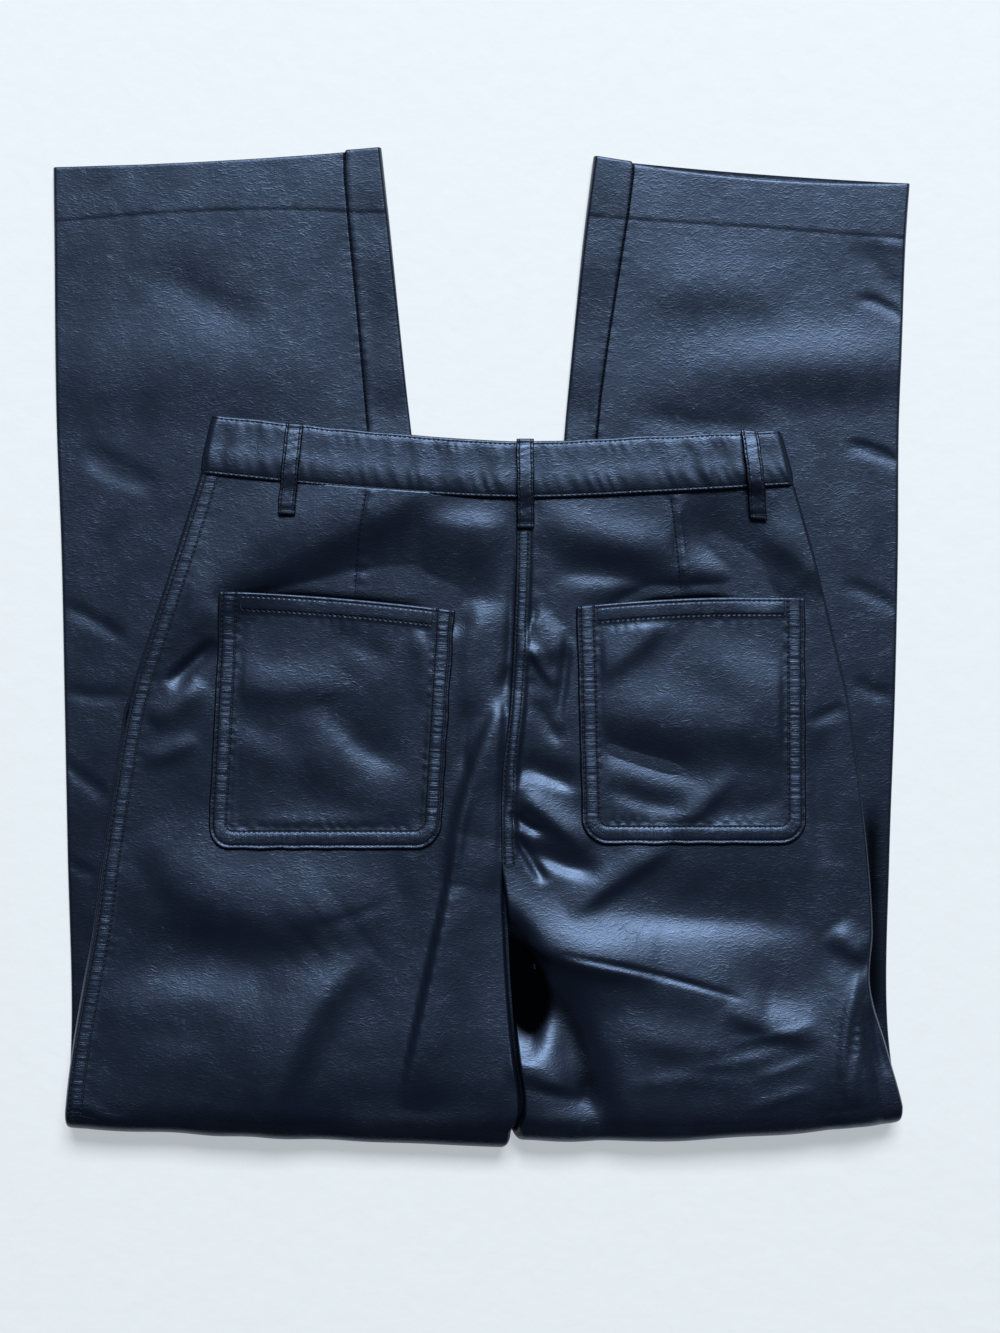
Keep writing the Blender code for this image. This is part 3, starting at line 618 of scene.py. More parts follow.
# %% Creases of the thighs
THIGH_CREASES = table(
    CREASE_COLUMNS,
    ("left swell under the pocket", -222, -120, -162, -163, -52, -158, 4.4, 32, 22),
    ("left hollow across", -210, -180, -150, -200, -70, -186, -2.6, 20, 26),
    ("left crisp end of the hollow", -108, -176, -84, -171, -54, -158, -0.45, 3, 5),
    ("left side hollow", -228, -126, -208, -150, -190, -174, -1.1, 12, 10),
    ("left low swell", -250, -224, -206, -226, -140, -218, 1.6, 16, 16),
    ("left lowest swell", -240, -250, -200, -258, -150, -258, 0.9, 14, 14),
    ("slanting swell", -70, -190, -112, -236, -138, -312, 6.4, 14, 40),
    ("left fold hollow", -120, -304, -50, -290, 26, -300, -2.4, 16, 12),
    ("left fold corner", -252, -284, -236, -296, -214, -302, 0.9, 5, 5),
    ("crotch pull", 21, -118, 29, -132, 40, -150, -3.2, 4, 2.4),
    ("upper crotch pull", 18, -104, 26, -112, 40, -118, -2.2, 3, 3),
    ("third crotch pull", 30, -126, 52, -138, 76, -142, -2.8, 8, 5),
    ("straight ridge to the pocket", 54, -168, 84, -149, 124, -122, 2.6, 12, 6),
    ("hollow below the right pocket", 70, -166, 140, -170, 212, -176, -2.8, 28, 12),
    ("long ridge", 26, -192, 96, -204, 180, -226, 5.0, 28, 22),
    ("thin line on the long ridge", 44, -193, 100, -204, 168, -223, -1.2, 2.2, 1.8),
    ("end of the long ridge", 152, -226, 184, -239, 216, -244, 2.6, 14, 8),
    ("plateau below the long ridge", 54, -268, 140, -270, 236, -276, 3.8, 36, 60),
    ("swell below the gap", 14, -262, 40, -270, 64, -282, 3.0, 20, 8),
    ("crease in that swell", 26, -276, 48, -281, 72, -288, -0.9, 4, 4),
    ("second swell below the gap", 28, -305, 52, -300, 78, -306, 2.0, 10, 6),
    ("second long swell", 80, -238, 124, -248, 166, -252, 2.2, 20, 12),
    ("wrinkle, first", 156, -248, 184, -244, 210, -236, 0.6, 3, 4),
    ("wrinkle, second", 124, -264, 158, -261, 192, -252, 0.6, 4, 5),
    ("wrinkle, third", 170, -270, 192, -264, 212, -255, 0.5, 3, 4),
    ("wrinkle, fourth", 92, -276, 132, -271, 168, -275, 0.7, 5, 6),
    ("wrinkle, fifth", 164, -290, 190, -282, 211, -276, 0.6, 4, 4),
    ("swell at the outer fold", 222, -290, 236, -292, 252, -290, 3.2, 55, 10),
    ("outer ridge", 240, -200, 228, -244, 229, -290, 3.4, 15, 18),
    ("edge of the outer ridge", 239, -204, 227, -244, 228, -286, 1.6, 6, 1.8),
    ("swell over the outer ridge", 222, -178, 234, -190, 244, -196, 2.4, 9, 8),
    ("outer valley", 248, -222, 249, -246, 256, -270, -1.4, 4, 4),
)
print("creases on the thighs:", len(THIGH_CREASES))

# %% [markdown]
# ## Deep places
# Each pocket is sewn down at its sides and foot only. Its mouth hangs free and bridges a dip in the
# seat, so a dark gap shows above it, its shade partly painted. Between the thighs the right panel
# drops away beside the left one, which lies nearly flat. These dips are tables like the others. They
# are kept apart because they also say where black shade is painted on the cloth, and because a
# pocket and the left panel mustn't follow them down.

# %% Dips under the mouths of the pockets
MOUTH_DIPS = table(
    CREASE_COLUMNS,
    ("left pocket", -174, 30, -92, 23, -2, 15, -5.4, 10, 8),
    ("left pocket, wide", -182, 32, -92, 31, 24, 34, -4.4, 32, 12),
    ("right pocket", 60, 18, 132, 25, 210, 26, -5.0, 11, 8),
    ("right pocket, middle", 84, 22, 128, 32, 172, 27, -3.6, 10, 9),
)
print("deepest dip under a mouth:", min(dip["rise"] for dip in MOUTH_DIPS), "mm")

# %% The gap between the thighs, and the ridge beside it
GAP = table(
    CREASE_COLUMNS,
    ("gap", -12, -160, 27, -199, 27, -262, -12.0, 9, 22),
    ("gully", 26, -200, 54, -234, 78, -318, -6.8, 12, 16),
    ("ridge beside the gap", -30, -144, 34, -188, 112, -206, 4.8, 24, 7),
)
print("the gap sinks by", -GAP[0]["rise"], "mm, on the right panel only")

# %% [markdown]
# ## Darts
# A dart takes a wedge out of the cloth below the waist and is sewn from inside, so outside it is a
# plain line that fades out at its tip. Cutting the wedge out of the mesh would only make its edges
# hard to join. Here the cloth is pressed in along the line instead, and the finish adds the row of
# stitches.

# %% Darts
DARTS = {
    "left": [(-73.2, 99.1), (-78.3, 64.6), (-81.7, 29.0)],
    "right": [(119.7, 95.1), (123.7, 68.3), (126.7, 30.0)],
}
print("dart lengths:", [round(math.dist(line[0], line[-1])) for line in DARTS.values()], "mm")

# %% [markdown]
# ## Creases of the lower legs
# The lower legs lie almost untouched: a few broad swells where air is caught between the layers,
# and short creases at the outer sides where the fold pulls. The underside has some as well, because
# the cloth hangs together. The swells are a table of their own, because under the seat they are
# pressed flat.

# %% Swells and creases of the lower legs
LEG_SWELLS = table(
    CREASE_COLUMNS,
    ("left shin hollow", -216, 250, -180, 224, -140, 194, -0.7, 14, 22),
    ("left shin swell", -310, 146, -196, 154, -90, 152, 3.4, 44, 20),
    ("right shin swell", 60, 139, 196, 167, 340, 166, 3.0, 28, 18),
    ("right shin sheen", 140, 168, 198, 177, 262, 175, 1.2, 20, 12),
    ("right upper shin swell", 96, 224, 145, 229, 198, 224, 1.0, 20, 14),
    ("right waist hollow", 84, 148, 172, 144, 280, 150, -1.0, 12, 12),
)
LEG_CREASES = table(
    CREASE_COLUMNS,
    ("left waist hollow", -256, 128, -232, 112, -205, 104, -1.2, 8, 7),
    ("left edge crease", -268, 26, -250, 19, -226, 4, -1.2, 3, 4),
    ("left edge crease, second", -268, -26, -246, -31, -226, -29, -1.0, 2.6, 4),
    ("left edge crease, third", -267, -72, -254, -84, -238, -96, -1.1, 3, 4),
    ("left edge crease, fourth", -266, -136, -254, -142, -244, -146, -0.8, 3, 4),
    ("left shin crease", -208, 240, -174, 222, -140, 208, -0.5, 9, 12),
    ("right edge crease", 236, 258, 254, 240, 271, 218, -0.6, 7, 8),
    ("right edge ridge", 246, 262, 260, 256, 274, 254, 0.35, 4, 4),
    ("right edge crease, second", 238, 222, 254, 219, 270, 208, -0.9, 3, 4),
    ("right edge crease, third", 232, 130, 252, 125, 268, 116, -1.2, 3, 5),
    ("right edge crease, fourth", 230, 40, 250, 34, 266, 22, -1.0, 3, 5),
    ("right edge crease, fifth", 238, -20, 250, -28, 264, -30, -0.9, 3, 5),
    ("right waist pull", 96, 150, 136, 142, 190, 140, -0.8, 8, 9),
)
FLOOR_CREASES = table(
    CREASE_COLUMNS,
    ("left shin", -240, 190, -180, 204, -110, 190, 0.9, 8, 5),
    ("left knee", -250, 40, -190, 22, -120, 34, 1.0, 6, 9),
    ("left knee, second", -160, -20, -100, -2, -50, -10, 0.8, 7, 5),
    ("left thigh", -240, -150, -170, -170, -90, -160, 1.1, 8, 6),
    ("left fold pull", -60, -200, -40, -240, -30, -290, 0.9, 5, 7),
    ("left cuff", -200, 262, -150, 254, -96, 262, 0.6, 6, 6),
    ("right shin", 90, 196, 150, 180, 240, 188, 0.9, 6, 8),
    ("right knee", 80, 44, 150, 60, 250, 46, 1.0, 9, 6),
    ("right knee, second", 60, -40, 120, -26, 190, -36, 0.8, 6, 6),
    ("right thigh", 90, -180, 150, -160, 230, -172, 1.1, 6, 8),
    ("right fold pull", 60, -210, 76, -250, 84, -292, 0.9, 6, 6),
    ("right cuff", 110, 250, 160, 258, 230, 248, 0.6, 6, 6),
)
print("creases of the lower legs:", len(LEG_SWELLS + LEG_CREASES), "on top,", len(FLOOR_CREASES), "below")

# %% [markdown]
# ## Meshes from grids
# Every panel is a grid: rows run down the cloth and columns across it. Sculpting it with a brush
# would work too, but a grid can be made again from its measures. A function gives each grid point
# its place on the outer face, and Solidify adds the thickness inwards. Where a hem is turned up,
# the cloth is twice as thick: a vertex group tells Solidify so. The columns crowd together at the
# two side edges, where the seams are.

# %% Pieces
CLOTH = 1.2
made = {}
print("cloth:", CLOTH, "mm thick")


def new_piece(name, points, faces, material=leather):
    """A piece from points in millimetres and faces. All of them ride on the one body of the trousers."""
    mesh = bpy.data.meshes.new(name)
    mesh.from_pydata((points.reshape(-1, 3) * MM).tolist(), [], faces)
    mesh.shade_smooth()
    mesh.materials.append(material)
    piece = bpy.data.objects.new(name, mesh)
    bpy.context.scene.collection.objects.link(piece)
    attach(piece, "root")
    made[name] = piece
    print(f"{name}: {len(mesh.vertices)} points, {len(faces)} faces")
    return piece


def add_thickness(piece, thickness, doubled=()):
    """Solidify inwards, with twice the thickness at the doubled points."""
    solid = piece.modifiers.new("thickness", "SOLIDIFY")
    solid.offset = -1.0
    solid.use_even_offset = False
    solid.thickness = thickness * MM
    if len(doubled):
        plies = piece.vertex_groups.new(name="plies")
        plies.add(list(range(len(piece.data.vertices))), 0.5, "REPLACE")
        plies.add([int(i) for i in doubled], 1.0, "REPLACE")
        solid.vertex_group = plies.name
        solid.thickness = 2 * thickness * MM


# %% Grids
EDGE_STEPS = (0.0, 0.4, 0.8, 1.25, 1.7, 2.2, 2.8, 3.5, 4.3, 5.2, 6.2, 7.3, 8.5, 9.7, 10.9, 12.1, 13.4)


def column_shares(width, step):
    """Shares of the way across a panel, close together at its two edges."""
    edge = np.array(EDGE_STEPS) / width
    count = int((width - 2 * EDGE_STEPS[-1]) / step)
    inner = np.linspace(edge[-1], 1 - edge[-1], count + 2)[1:-1]
    return np.concatenate([edge, inner, 1 - edge[::-1]])


def cloth_grid(name, points, thickness, seam, hem=None):
    """A sheet from a grid of points. Rows go towards -Y and columns to +X, and hem is a slice of rows."""
    rows, columns = points.shape[:2]
    index = np.arange(rows * columns).reshape(rows, columns)
    faces = np.stack([index[:-1, :-1], index[1:, :-1], index[1:, 1:], index[:-1, 1:]], axis=-1)
    piece = new_piece(name, points, faces.reshape(-1, 4).tolist())
    for key, values in seam.items():
        attribute = piece.data.attributes.new("seam_" + key, "FLOAT", "POINT")
        attribute.data.foreach_set("value", np.ascontiguousarray(values, np.float32).reshape(-1))
    add_thickness(piece, thickness, index[hem, 1:-1].reshape(-1) if hem else ())
    return piece


PANEL_WIDTH, PANEL_STEP = 230.0, 2.4
print("columns on a back panel:", len(column_shares(PANEL_WIDTH, PANEL_STEP)))


# %% Seam strips
SINGLE_ROW = (0.0, 5.7)


def seam_strip(across, run, near, rows=SINGLE_ROW):
    """What the finish needs for two rows. A single row lies at 0, far from a second one."""
    return {"row": (across - rows[0]) / (rows[1] - rows[0]), "run": run, "near": near}


def strip_puff(across, run, rows, seed):
    """Height of the uneven puckers between two rows of stitches."""
    middle, half = (rows[0] + rows[1]) / 2, (rows[1] - rows[0]) / 2
    return np.clip(1 - ((across - middle) / half) ** 2, 0, 1) * (0.22 + 0.20 * waver(run, LADDER_PITCH, seed))


print("puff between two rows, mm:", strip_puff(np.array([2.0, 6.0, 10.0]), 0.0, (2.0, 10.0), 0.0).round(2))

# %% [markdown]
# ## The two back panels
# A back panel is the largest piece: from the waist seam over the seat and down the thigh, round the
# fold, and then flat along the floor to the hem. Seat, fold and floor could be three pieces, but
# then a line would show where they meet. It is one long grid instead. Over the seat its height is
# the crown of the stacked layers under it, plus swells and creases, with a rounded side. The turn
# is half an ellipse from the top to the floor.

# %% Measures of the stack
SEAT_EDGE = 7.9
SEAT_RIM, INNER_RIM, LEG_RIM = 2.8, 2.4, 2.6
FOLD_REACH, FOLD_CORNER = 11.0, 5.0
LEG_SEAM = 2.1
LEG_TOP_PRESSED = 4.1
LEG_TOP_HEM = {"left": 7.6, "right": 8.2}
CROTCH_Y, PARTING, LAP_WIDTH = -135.0, 35.0, 8.5
SEAT_LENGTH = 415.0
print("height at the fold:", SEAT[0]["crown"], "mm, at the waist:", SEAT[-1]["crown"], "mm")


# %% The seat's outer face
def parted(y):
    """0 above the crotch, where the seat is one, and 1 where the thighs lie apart."""
    return smooth((CROTCH_Y - y) / PARTING)


def seat_y(side, share, down):
    side_x = WAIST_LEFT if side == "left" else WAIST_RIGHT
    waist = along(BAND, "seam_y", mix(side_x, CENTRE_BACK, share), "seam_x")
    return mix(waist, line_y(side + " fold", share) + FOLD_REACH, down)


def seat_crown(x, y):
    """Height of the seat over the stack under it, before anything is sunk into it."""
    return along(SEAT, "crown", y) + crease_height(SEAT_CREASES + THIGH_CREASES, x, y)


def seat_grid(side, downs, shares):
    """Places on the seat's outer face, the distances to its outer and inner edge, and the shade painted where
    it is sunk far.
    """
    down, share = np.meshgrid(downs, shares, indexing="ij")
    y = seat_y(side, share, down)
    outer = along(SEAT, side, seat_y(side, 0.0, down))
    inner = along(SEAT, side + "_in", seat_y(side, 1.0, down))
    if side == "left":
        above = seat_y(side, 1.0, down) - CROTCH_Y
        inner = inner + LAP_WIDTH * smooth((above - 5.0) / 35.0)
    x = mix(outer, inner, share)
    from_outer, from_inner = np.abs(x - outer), np.abs(inner - x)
    mouth_dip = -crease_height(MOUTH_DIPS, x, y)
    gap_dip = -crease_height(GAP if side == "right" else [], x, y)
    crown = np.maximum(seat_crown(x, y) - mouth_dip - gap_dip, SEAT_EDGE - 0.2)
    inner_round = mix(1.0, round_off(from_inner / INNER_RIM), parted(y))
    rounded = np.minimum(round_off(from_outer / SEAT_RIM), inner_round)
    # Painted shade where the mouth dips and the gap sink the cloth farthest.
    painted_shade = np.maximum(smooth((mouth_dip - 4.4) / 2.6), smooth((gap_dip - 4.2) / 4.0))
    return np.stack([x, y, mix(SEAT_EDGE, crown, rounded)], axis=-1), from_outer, from_inner, painted_shade


on_thigh = seat_grid("left", np.array([0.8]), np.array([0.5]))[0][0, 0]
print("a place on the left thigh, mm:", on_thigh.round(1))

# %% [markdown]
# ## Side seam, centre seam and dart
# The right panel laps over the left one along the centre back, as a jeans seam does, and its lap is
# thicker, with two rows of stitches. The left panel has such a strip along its side seam. Beside
# the pocket that side begins to roll under, and over a finger's length its edge gapes: a line of
# painted shade shows the gap. Both strips could be narrow pieces laid on, but sewn cloth has no step
# there. So they are height on the same grid, from the distance to its edge, and they stay true
# where the edge bends.

# %% Strips as height
LAP_RISE = 1.7
SIDE_STRIP = (4.0, 12.0)
LAP_STRIP = (1.7, 7.4)
ROLL_STARTS_Y, SLIT_Y = -18.0, -43.0


def lap_taper(y):
    """1 along the centre seam and 0 from the crotch down."""
    return smooth((y - CROTCH_Y + 8.0) / 30.0)


def side_strip(y, run, from_outer):
    """The left panel's strip: what it adds to the height, and where the finish draws it."""
    near = (from_outer < 20.0).astype(float)
    rise = 0.5 * smooth(from_outer / 1.5) * (1 - smooth((from_outer - SIDE_STRIP[1]) / 2.0))
    rise -= 0.9 * smooth((ROLL_STARTS_Y - y) / 12.0) * hump(from_outer - 1.9, 0.55)
    return rise + strip_puff(from_outer, run, SIDE_STRIP, 0.7) * near, near


def lap_strip(y, run, from_inner):
    """The same for the lap of the right panel."""
    near = ((from_inner < 12.0) & (y > CROTCH_Y - 4)).astype(float)
    rise = LAP_RISE * (1 - smooth((from_inner - LAP_STRIP[1] - 0.6) / 3.5))
    rise -= 0.9 * (1 - round_off(from_inner / 1.2))
    rise += 0.35 * hump(from_inner - LAP_STRIP[1] - 5.5, 3.0) * waver(run, 17.0, 1.2)
    return rise * lap_taper(y) + strip_puff(from_inner, run, LAP_STRIP, 2.9) * near, near


print("rows of the side seam:", SIDE_STRIP, "and of the lap:", LAP_STRIP, "mm from the edge")


# %% Dart as height
def dart_valley(side, x, y):
    """What a dart adds to the height, the distance to it, the length along it, and where it fades out."""
    distance, run, length = near_line(x, y, DARTS[side])
    beside = (np.abs(distance) < 6.0) & (run > 0.1) & (run < length - 0.1)
    fade = smooth((length - run) / 14.0) * beside
    rise = 0.45 * hump(distance - 4.0, 4.5) * (1 + 0.5 * waver(run, 9.0, 1.0)) - 0.7 * hump(distance, 1.8)
    return rise * fade, distance, run, beside, fade


start_x, start_y = (np.array([value - 1.0]) for value in DARTS["left"][0])
print("the left dart, near its start:", dart_valley("left", start_x, start_y)[0].round(2), "mm")

# %% [markdown]
# ## The floor half and the fold
# Under the trousers the same panel goes on flat on the floor. At its two sides it rises a little to
# meet the front panel at the seams. The fold could be bent with a modifier, but that makes a plain
# half circle. Real cloth is fuller there, because the stack inside pushes it out, and it draws back
# at the corners. So each row round the fold is placed by a formula.

# %% Floor half
FLOOR_HEM_DEPTH = 33.0


def leg_place(side, ups, shares):
    """Places across a lower leg from the fold to the hem, and the distances to its two sides."""
    def y_at(up, share):
        return mix(line_y(side + " fold", share) + FOLD_REACH, line_y(side + " hem", share), up)

    up, share = np.meshgrid(ups, shares, indexing="ij")
    outer = along(LEGS, side, y_at(up, 0.0))
    inner = along(LEGS, side + "_in", y_at(up, 1.0))
    x = mix(outer, inner, share)
    return x, y_at(up, share), np.abs(x - outer), np.abs(inner - x)


def floor_grid(side, ups, shares):
    x, y, from_outer, from_inner = leg_place(side, ups, shares)
    edge = np.minimum(from_outer, from_inner)
    flat = smooth(edge / 12.0) * smooth((y + 290.0) / 20.0)
    z = LEG_SEAM * (1 - round_off(edge / LEG_RIM))
    z = z + flat * np.maximum(crease_height(FLOOR_CREASES, x, y), 0.0)
    hem_y = line_y(side + " hem", shares)[None, :] - FLOOR_HEM_DEPTH
    z = z + 0.25 * hump(y - hem_y, 1.4)
    return np.stack([x, y, z], axis=-1)


hem_line = floor_grid("left", np.array([1.0]), np.array([0.0, 1.0]))[0]
print("left hem:", np.ptp(hem_line[:, 0]).round(1), "mm across")

# %% Fold
FOLD_ROWS = 15
FOLD_RIPPLE = {"left": 2.0, "right": 0.0}


def fold_rows(side, top, bottom):
    """Rows round the fold, from the seat's last row to the floor's first one."""
    angles = np.pi * np.arange(1, FOLD_ROWS + 1) / (FOLD_ROWS + 1)
    edge = np.minimum(np.abs(top[:, 0] - top[0, 0]), np.abs(top[:, 0] - top[-1, 0]))
    corner = FOLD_CORNER * (1 - round_off(edge / FOLD_CORNER))
    reach = FOLD_REACH - corner + 0.5 * waver(top[:, 0], 61.0, FOLD_RIPPLE[side])
    rows = top[None] + (bottom - top)[None] * ((1 - np.cos(angles)) / 2)[:, None, None]
    rows[..., 1] -= reach[None] * np.sin(angles)[:, None] ** 0.75
    return rows


print("rows round the fold:", FOLD_ROWS)

# %% Seams of a back panel
DART_NEAR = 0.6


def seat_relief(side, places, from_outer, from_inner, run):
    """What strip and dart add to the seat's height, and the values for its seams."""
    x, y = places[..., 0], places[..., 1]
    if side == "left":
        rows, across = SIDE_STRIP, from_outer
        rise, near = side_strip(y, run, from_outer)
    else:
        rows, across = LAP_STRIP, from_inner
        rise, near = lap_strip(y, run, from_inner)
    valley, dart, dart_run, beside_dart, dart_fade = dart_valley(side, x, y)
    across = np.where(beside_dart, rows[0] + dart, across)
    run = np.where(beside_dart, dart_run, run)
    rise = rise + valley + 0.10 * waver(run, 9.0, 4.0) * hump(across - rows[1] - 2.0, 2.6) * near
    return rise, seam_strip(across, run, np.maximum(near, DART_NEAR * dart_fade), rows)


print("a dart's seam is", DART_NEAR, "near, so it has no rungs")


# %% Back panels
SEAT_ROWS, FLOOR_ROWS, FLOOR_HEM_ROWS = 288, 100, 6
# How much shade is painted round the fold, on each side.
FOLD_SHADE = {"left": 0.4, "right": 0.25}


def back_panel(side):
    shares = column_shares(PANEL_WIDTH, PANEL_STEP)
    downs = np.linspace(0.0, 1.0, SEAT_ROWS)
    seat, from_outer, from_inner, painted_shade = seat_grid(side, downs, shares)
    run = np.broadcast_to((downs * SEAT_LENGTH)[:, None], from_outer.shape)
    rise, seam = seat_relief(side, seat, from_outer, from_inner, run)
    seat[..., 2] += rise
    on_floor = floor_grid(side, np.linspace(0.0, 1.0, FLOOR_ROWS), shares)
    fold = fold_rows(side, seat[-1], on_floor[0])
    points = np.concatenate([seat, fold, on_floor])

    y = seat[..., 1]
    # Painted shade: a dark line where the left side's edge gapes, and shade painted towards the fold.
    if side == "left":
        painted_shade = np.maximum(painted_shade, hump(y - SLIT_Y, 9.0) * hump(from_outer - 2.1, 0.8))
    painted_shade = np.maximum(painted_shade, FOLD_SHADE[side] * smooth(1 - (y - y[-1]) / 14.0))
    rest = np.zeros((len(points) - len(seat), len(shares)))
    seam = {key: np.concatenate([values, rest]) for key, values in seam.items()}
    # Painted shade round the fold itself.
    shade = np.full(fold.shape[:2], FOLD_SHADE[side])
    seam["painted_shade"] = np.concatenate([painted_shade, shade, np.zeros(on_floor.shape[:2])])
    if side == "right":
        points = points[:, ::-1]
        seam = {key: values[:, ::-1] for key, values in seam.items()}
    hem = slice(len(points) - FLOOR_HEM_ROWS, len(points))
    return cloth_grid("back_" + side + "_panel", points, CLOTH, seam, hem)


for side in ("left", "right"):
    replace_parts(back_panel(side), "back_" + side)
print("seat and thigh:", SEAT[-1]["y"] - SEAT[0]["y"], "mm long in plan")

# %% [markdown]
# ## The lower legs
# The lower halves of the two front panels lie on the floor halves of the back panels. Beyond the
# waist they are what one sees: a smooth, slightly puffed surface. Near the inner edge runs the
# inner-leg seam, because the back panel reaches round to the top there. The hem is turned up
# inside, so the cloth is twice as thick over its depth, and a faint step shows where it ends. The
# seam could be two meshes that meet; here one mesh has fine columns on each side of it, and painted
# shade darkens the join and, a little, the strip beyond it.

# %% Inner-leg seams and hem steps
INSEAMS = {
    "left": [
        (-38, -160), (-62, 20), (-72.5, 137.4), (-78.8, 209.4), (-84.2, 265), (-87.2, 300), (-87.5, 330),
    ],
    "right": [
        (52, -160), (68, 20), (73.2, 132.8), (75.5, 158.3), (81.3, 200.1), (87.1, 237.1), (92.9, 274.3),
        (96.2, 300), (97.5, 330),
    ],
}
HEM_STEPS = table(
    "share left right",
    (0.0, 271.5, 261.0),
    (0.25, 275.8, 264.4),
    (0.5, 278.8, 268.2),
    (0.75, 279.3, 271.3),
    (0.885, 277.8, 273.3),
    (1.0, 277.5, 275.5),
)
SEAM_SHARE = 0.885
print("hem depth:", round(line_y("left hem", 0.5) - HEM_STEPS[2]["left"], 1), "mm")

# %% Rows and columns of a lower leg
LEG_WIDTH, HEM_DEPTH, LEG_LENGTH, HIDDEN_FROM = 225.0, 35.0, 560.0, 150.0
FINE_STEPS = np.array([0.0, 0.4, 0.8, 1.3, 2.0, 3.0, 4.3])


def spaced(first, last, step):
    return np.linspace(first, last, int(abs(last - first) / step) + 1)[1:-1]


def leg_columns():
    """Shares across a lower leg: fine at both sides and on each side of the inner-leg seam."""
    edge = np.array(EDGE_STEPS[:12]) / LEG_WIDTH
    fine = FINE_STEPS / LEG_WIDTH
    return np.concatenate([
        edge, spaced(edge[-1], SEAM_SHARE - fine[-1], 2.7 / LEG_WIDTH), (SEAM_SHARE - fine)[::-1],
        (SEAM_SHARE + fine)[1:], spaced(SEAM_SHARE + fine[-1], 1 - edge[-1], 2.0 / LEG_WIDTH), 1 - edge[::-1],
    ])


def leg_rows():
    """Down a lower leg from the hem: 0 on it, 1 where its turned-up depth ends, 2 next to the fold."""
    hem = np.array([0, 0.4, 0.9, 1.5, 2.3, 3.3]) / HEM_DEPTH
    fine = FINE_STEPS / HEM_DEPTH
    hidden = 1 + HIDDEN_FROM / LEG_LENGTH
    return np.concatenate([
        hem, spaced(hem[-1], 1 - fine[-1], 2.2 / HEM_DEPTH), (1 - fine)[::-1],
        1 + FINE_STEPS[1:] / LEG_LENGTH, spaced(1 + FINE_STEPS[-1] / LEG_LENGTH, hidden, 1.7 / LEG_LENGTH),
        np.linspace(hidden, 2.0, 120),
    ])


print("lower leg:", len(leg_rows()), "rows and", len(leg_columns()), "columns")


# %% Places and heights of a lower leg
def front_y(side, row, share):
    """Y on a front panel: from its hem to the step where the hem ends, and on to the fold."""
    hem_y = line_y("right top hem" if side == "right" else "left hem", share)
    hem_y = hem_y + 1.5 * smooth((share - SEAM_SHARE) * LEG_WIDTH / 1.2)
    step_y = along(HEM_STEPS, side, share, "share")
    start_y = line_y(side + " fold", share) + FOLD_REACH + 6.5
    return np.where(row < 1, mix(hem_y, step_y, row), mix(step_y, start_y, row - 1))


def front_place(side, row, share):
    """X and Y on a front panel, the distances to its nearer side and to the inner-leg seam."""
    zero = np.zeros_like(share)
    outer = along(LEGS, side, front_y(side, row, zero))
    inner = along(LEGS, side + "_in", front_y(side, row, zero + 1))
    line = np.array(INSEAMS[side])
    seam_x = np.interp(front_y(side, row, zero + SEAM_SHARE), line[:, 1], line[:, 0])
    seam_share = (seam_x - outer) / (inner - outer)
    before = share * seam_share / SEAM_SHARE
    after = 1 - (1 - share) * (1 - seam_share) / (1 - SEAM_SHARE)
    x = mix(outer, inner, np.where(share < SEAM_SHARE, before, after))
    edge = np.minimum(np.abs(x - outer), np.abs(inner - x))
    across = (x - seam_x) * (1 if side == "left" else -1)
    return x, front_y(side, row, share), edge, across


def front_height(side, x, y, share, edge, across):
    """Height of a front panel: swells, creases, the inner-leg seam, the hem's step and the hem itself."""
    top = mix(LEG_TOP_PRESSED, LEG_TOP_HEM[side], smooth((y - 150.0) / 190.0))
    free = smooth((y - 130.0) / 75.0) * (1 - smooth((y - 255.0) / 25.0))
    top = top + crease_height(LEG_SWELLS, x, y) * free + crease_height(LEG_CREASES, x, y)
    top = top - 0.45 * hump(across, 0.6) + 0.30 * hump(across - 3.2, 2.4) - 0.35 * smooth(across / 0.6)
    top = top + 0.14 * waver(-y, 8.0, 1.5) * hump(across, 4.0)
    top = top + 0.35 * waver(-y, 47.0, 2.0) * smooth(across / 6.0)
    from_step = y - along(HEM_STEPS, side, share, "share")
    top = top + 0.22 * smooth(from_step / 4.0 + 0.5) - 0.06 * hump(from_step + 1.2, 1.2)
    top = top + 0.12 * waver(x, 12.0, 2.0) * hump(from_step, 4.0)
    from_hem = y[0][None, :] - y
    top = top - 0.8 * (1 - round_off(from_hem / 1.8)) + 0.25 * waver(x, 47.0, 3.0) * hump(from_hem, 12.0)
    return mix(LEG_SEAM + 0.5, np.maximum(top, 3.2), round_off(edge / LEG_RIM))


print("swell of the legs: from", LEG_TOP_PRESSED, "mm under the seat to", LEG_TOP_HEM, "mm at the hems")


# %% Front panels
def front_panel(side):
    row, share = np.meshgrid(leg_rows(), leg_columns(), indexing="ij")
    x, y, edge, across = front_place(side, row, share)
    points = np.stack([x, y, front_height(side, x, y, share, edge, across)], axis=-1)
    seam = seam_strip(across, -y, (np.abs(across) < 1.2).astype(float))
    # Painted shade in the inner-leg seam, and a little on the strip beyond it.
    seam["painted_shade"] = np.maximum(0.22 * smooth(across / 2.0), 0.8 * hump(across, 0.7))
    if side == "right":
        # Painted shade on the right leg's edge where it lies under the thigh.
        under_thigh = smooth((-95.0 - y) / 25.0) * smooth((y + 245.0) / 20.0) * hump(x - 249.0, 6.0)
        seam["painted_shade"] = np.maximum(seam["painted_shade"], 0.9 * under_thigh)
        points = points[:, ::-1]
        seam = {key: values[:, ::-1] for key, values in seam.items()}
    hem = slice(0, int(np.sum(leg_rows() <= 1.0)))
    return cloth_grid("front_" + side + "_panel", points, CLOTH, seam, hem)


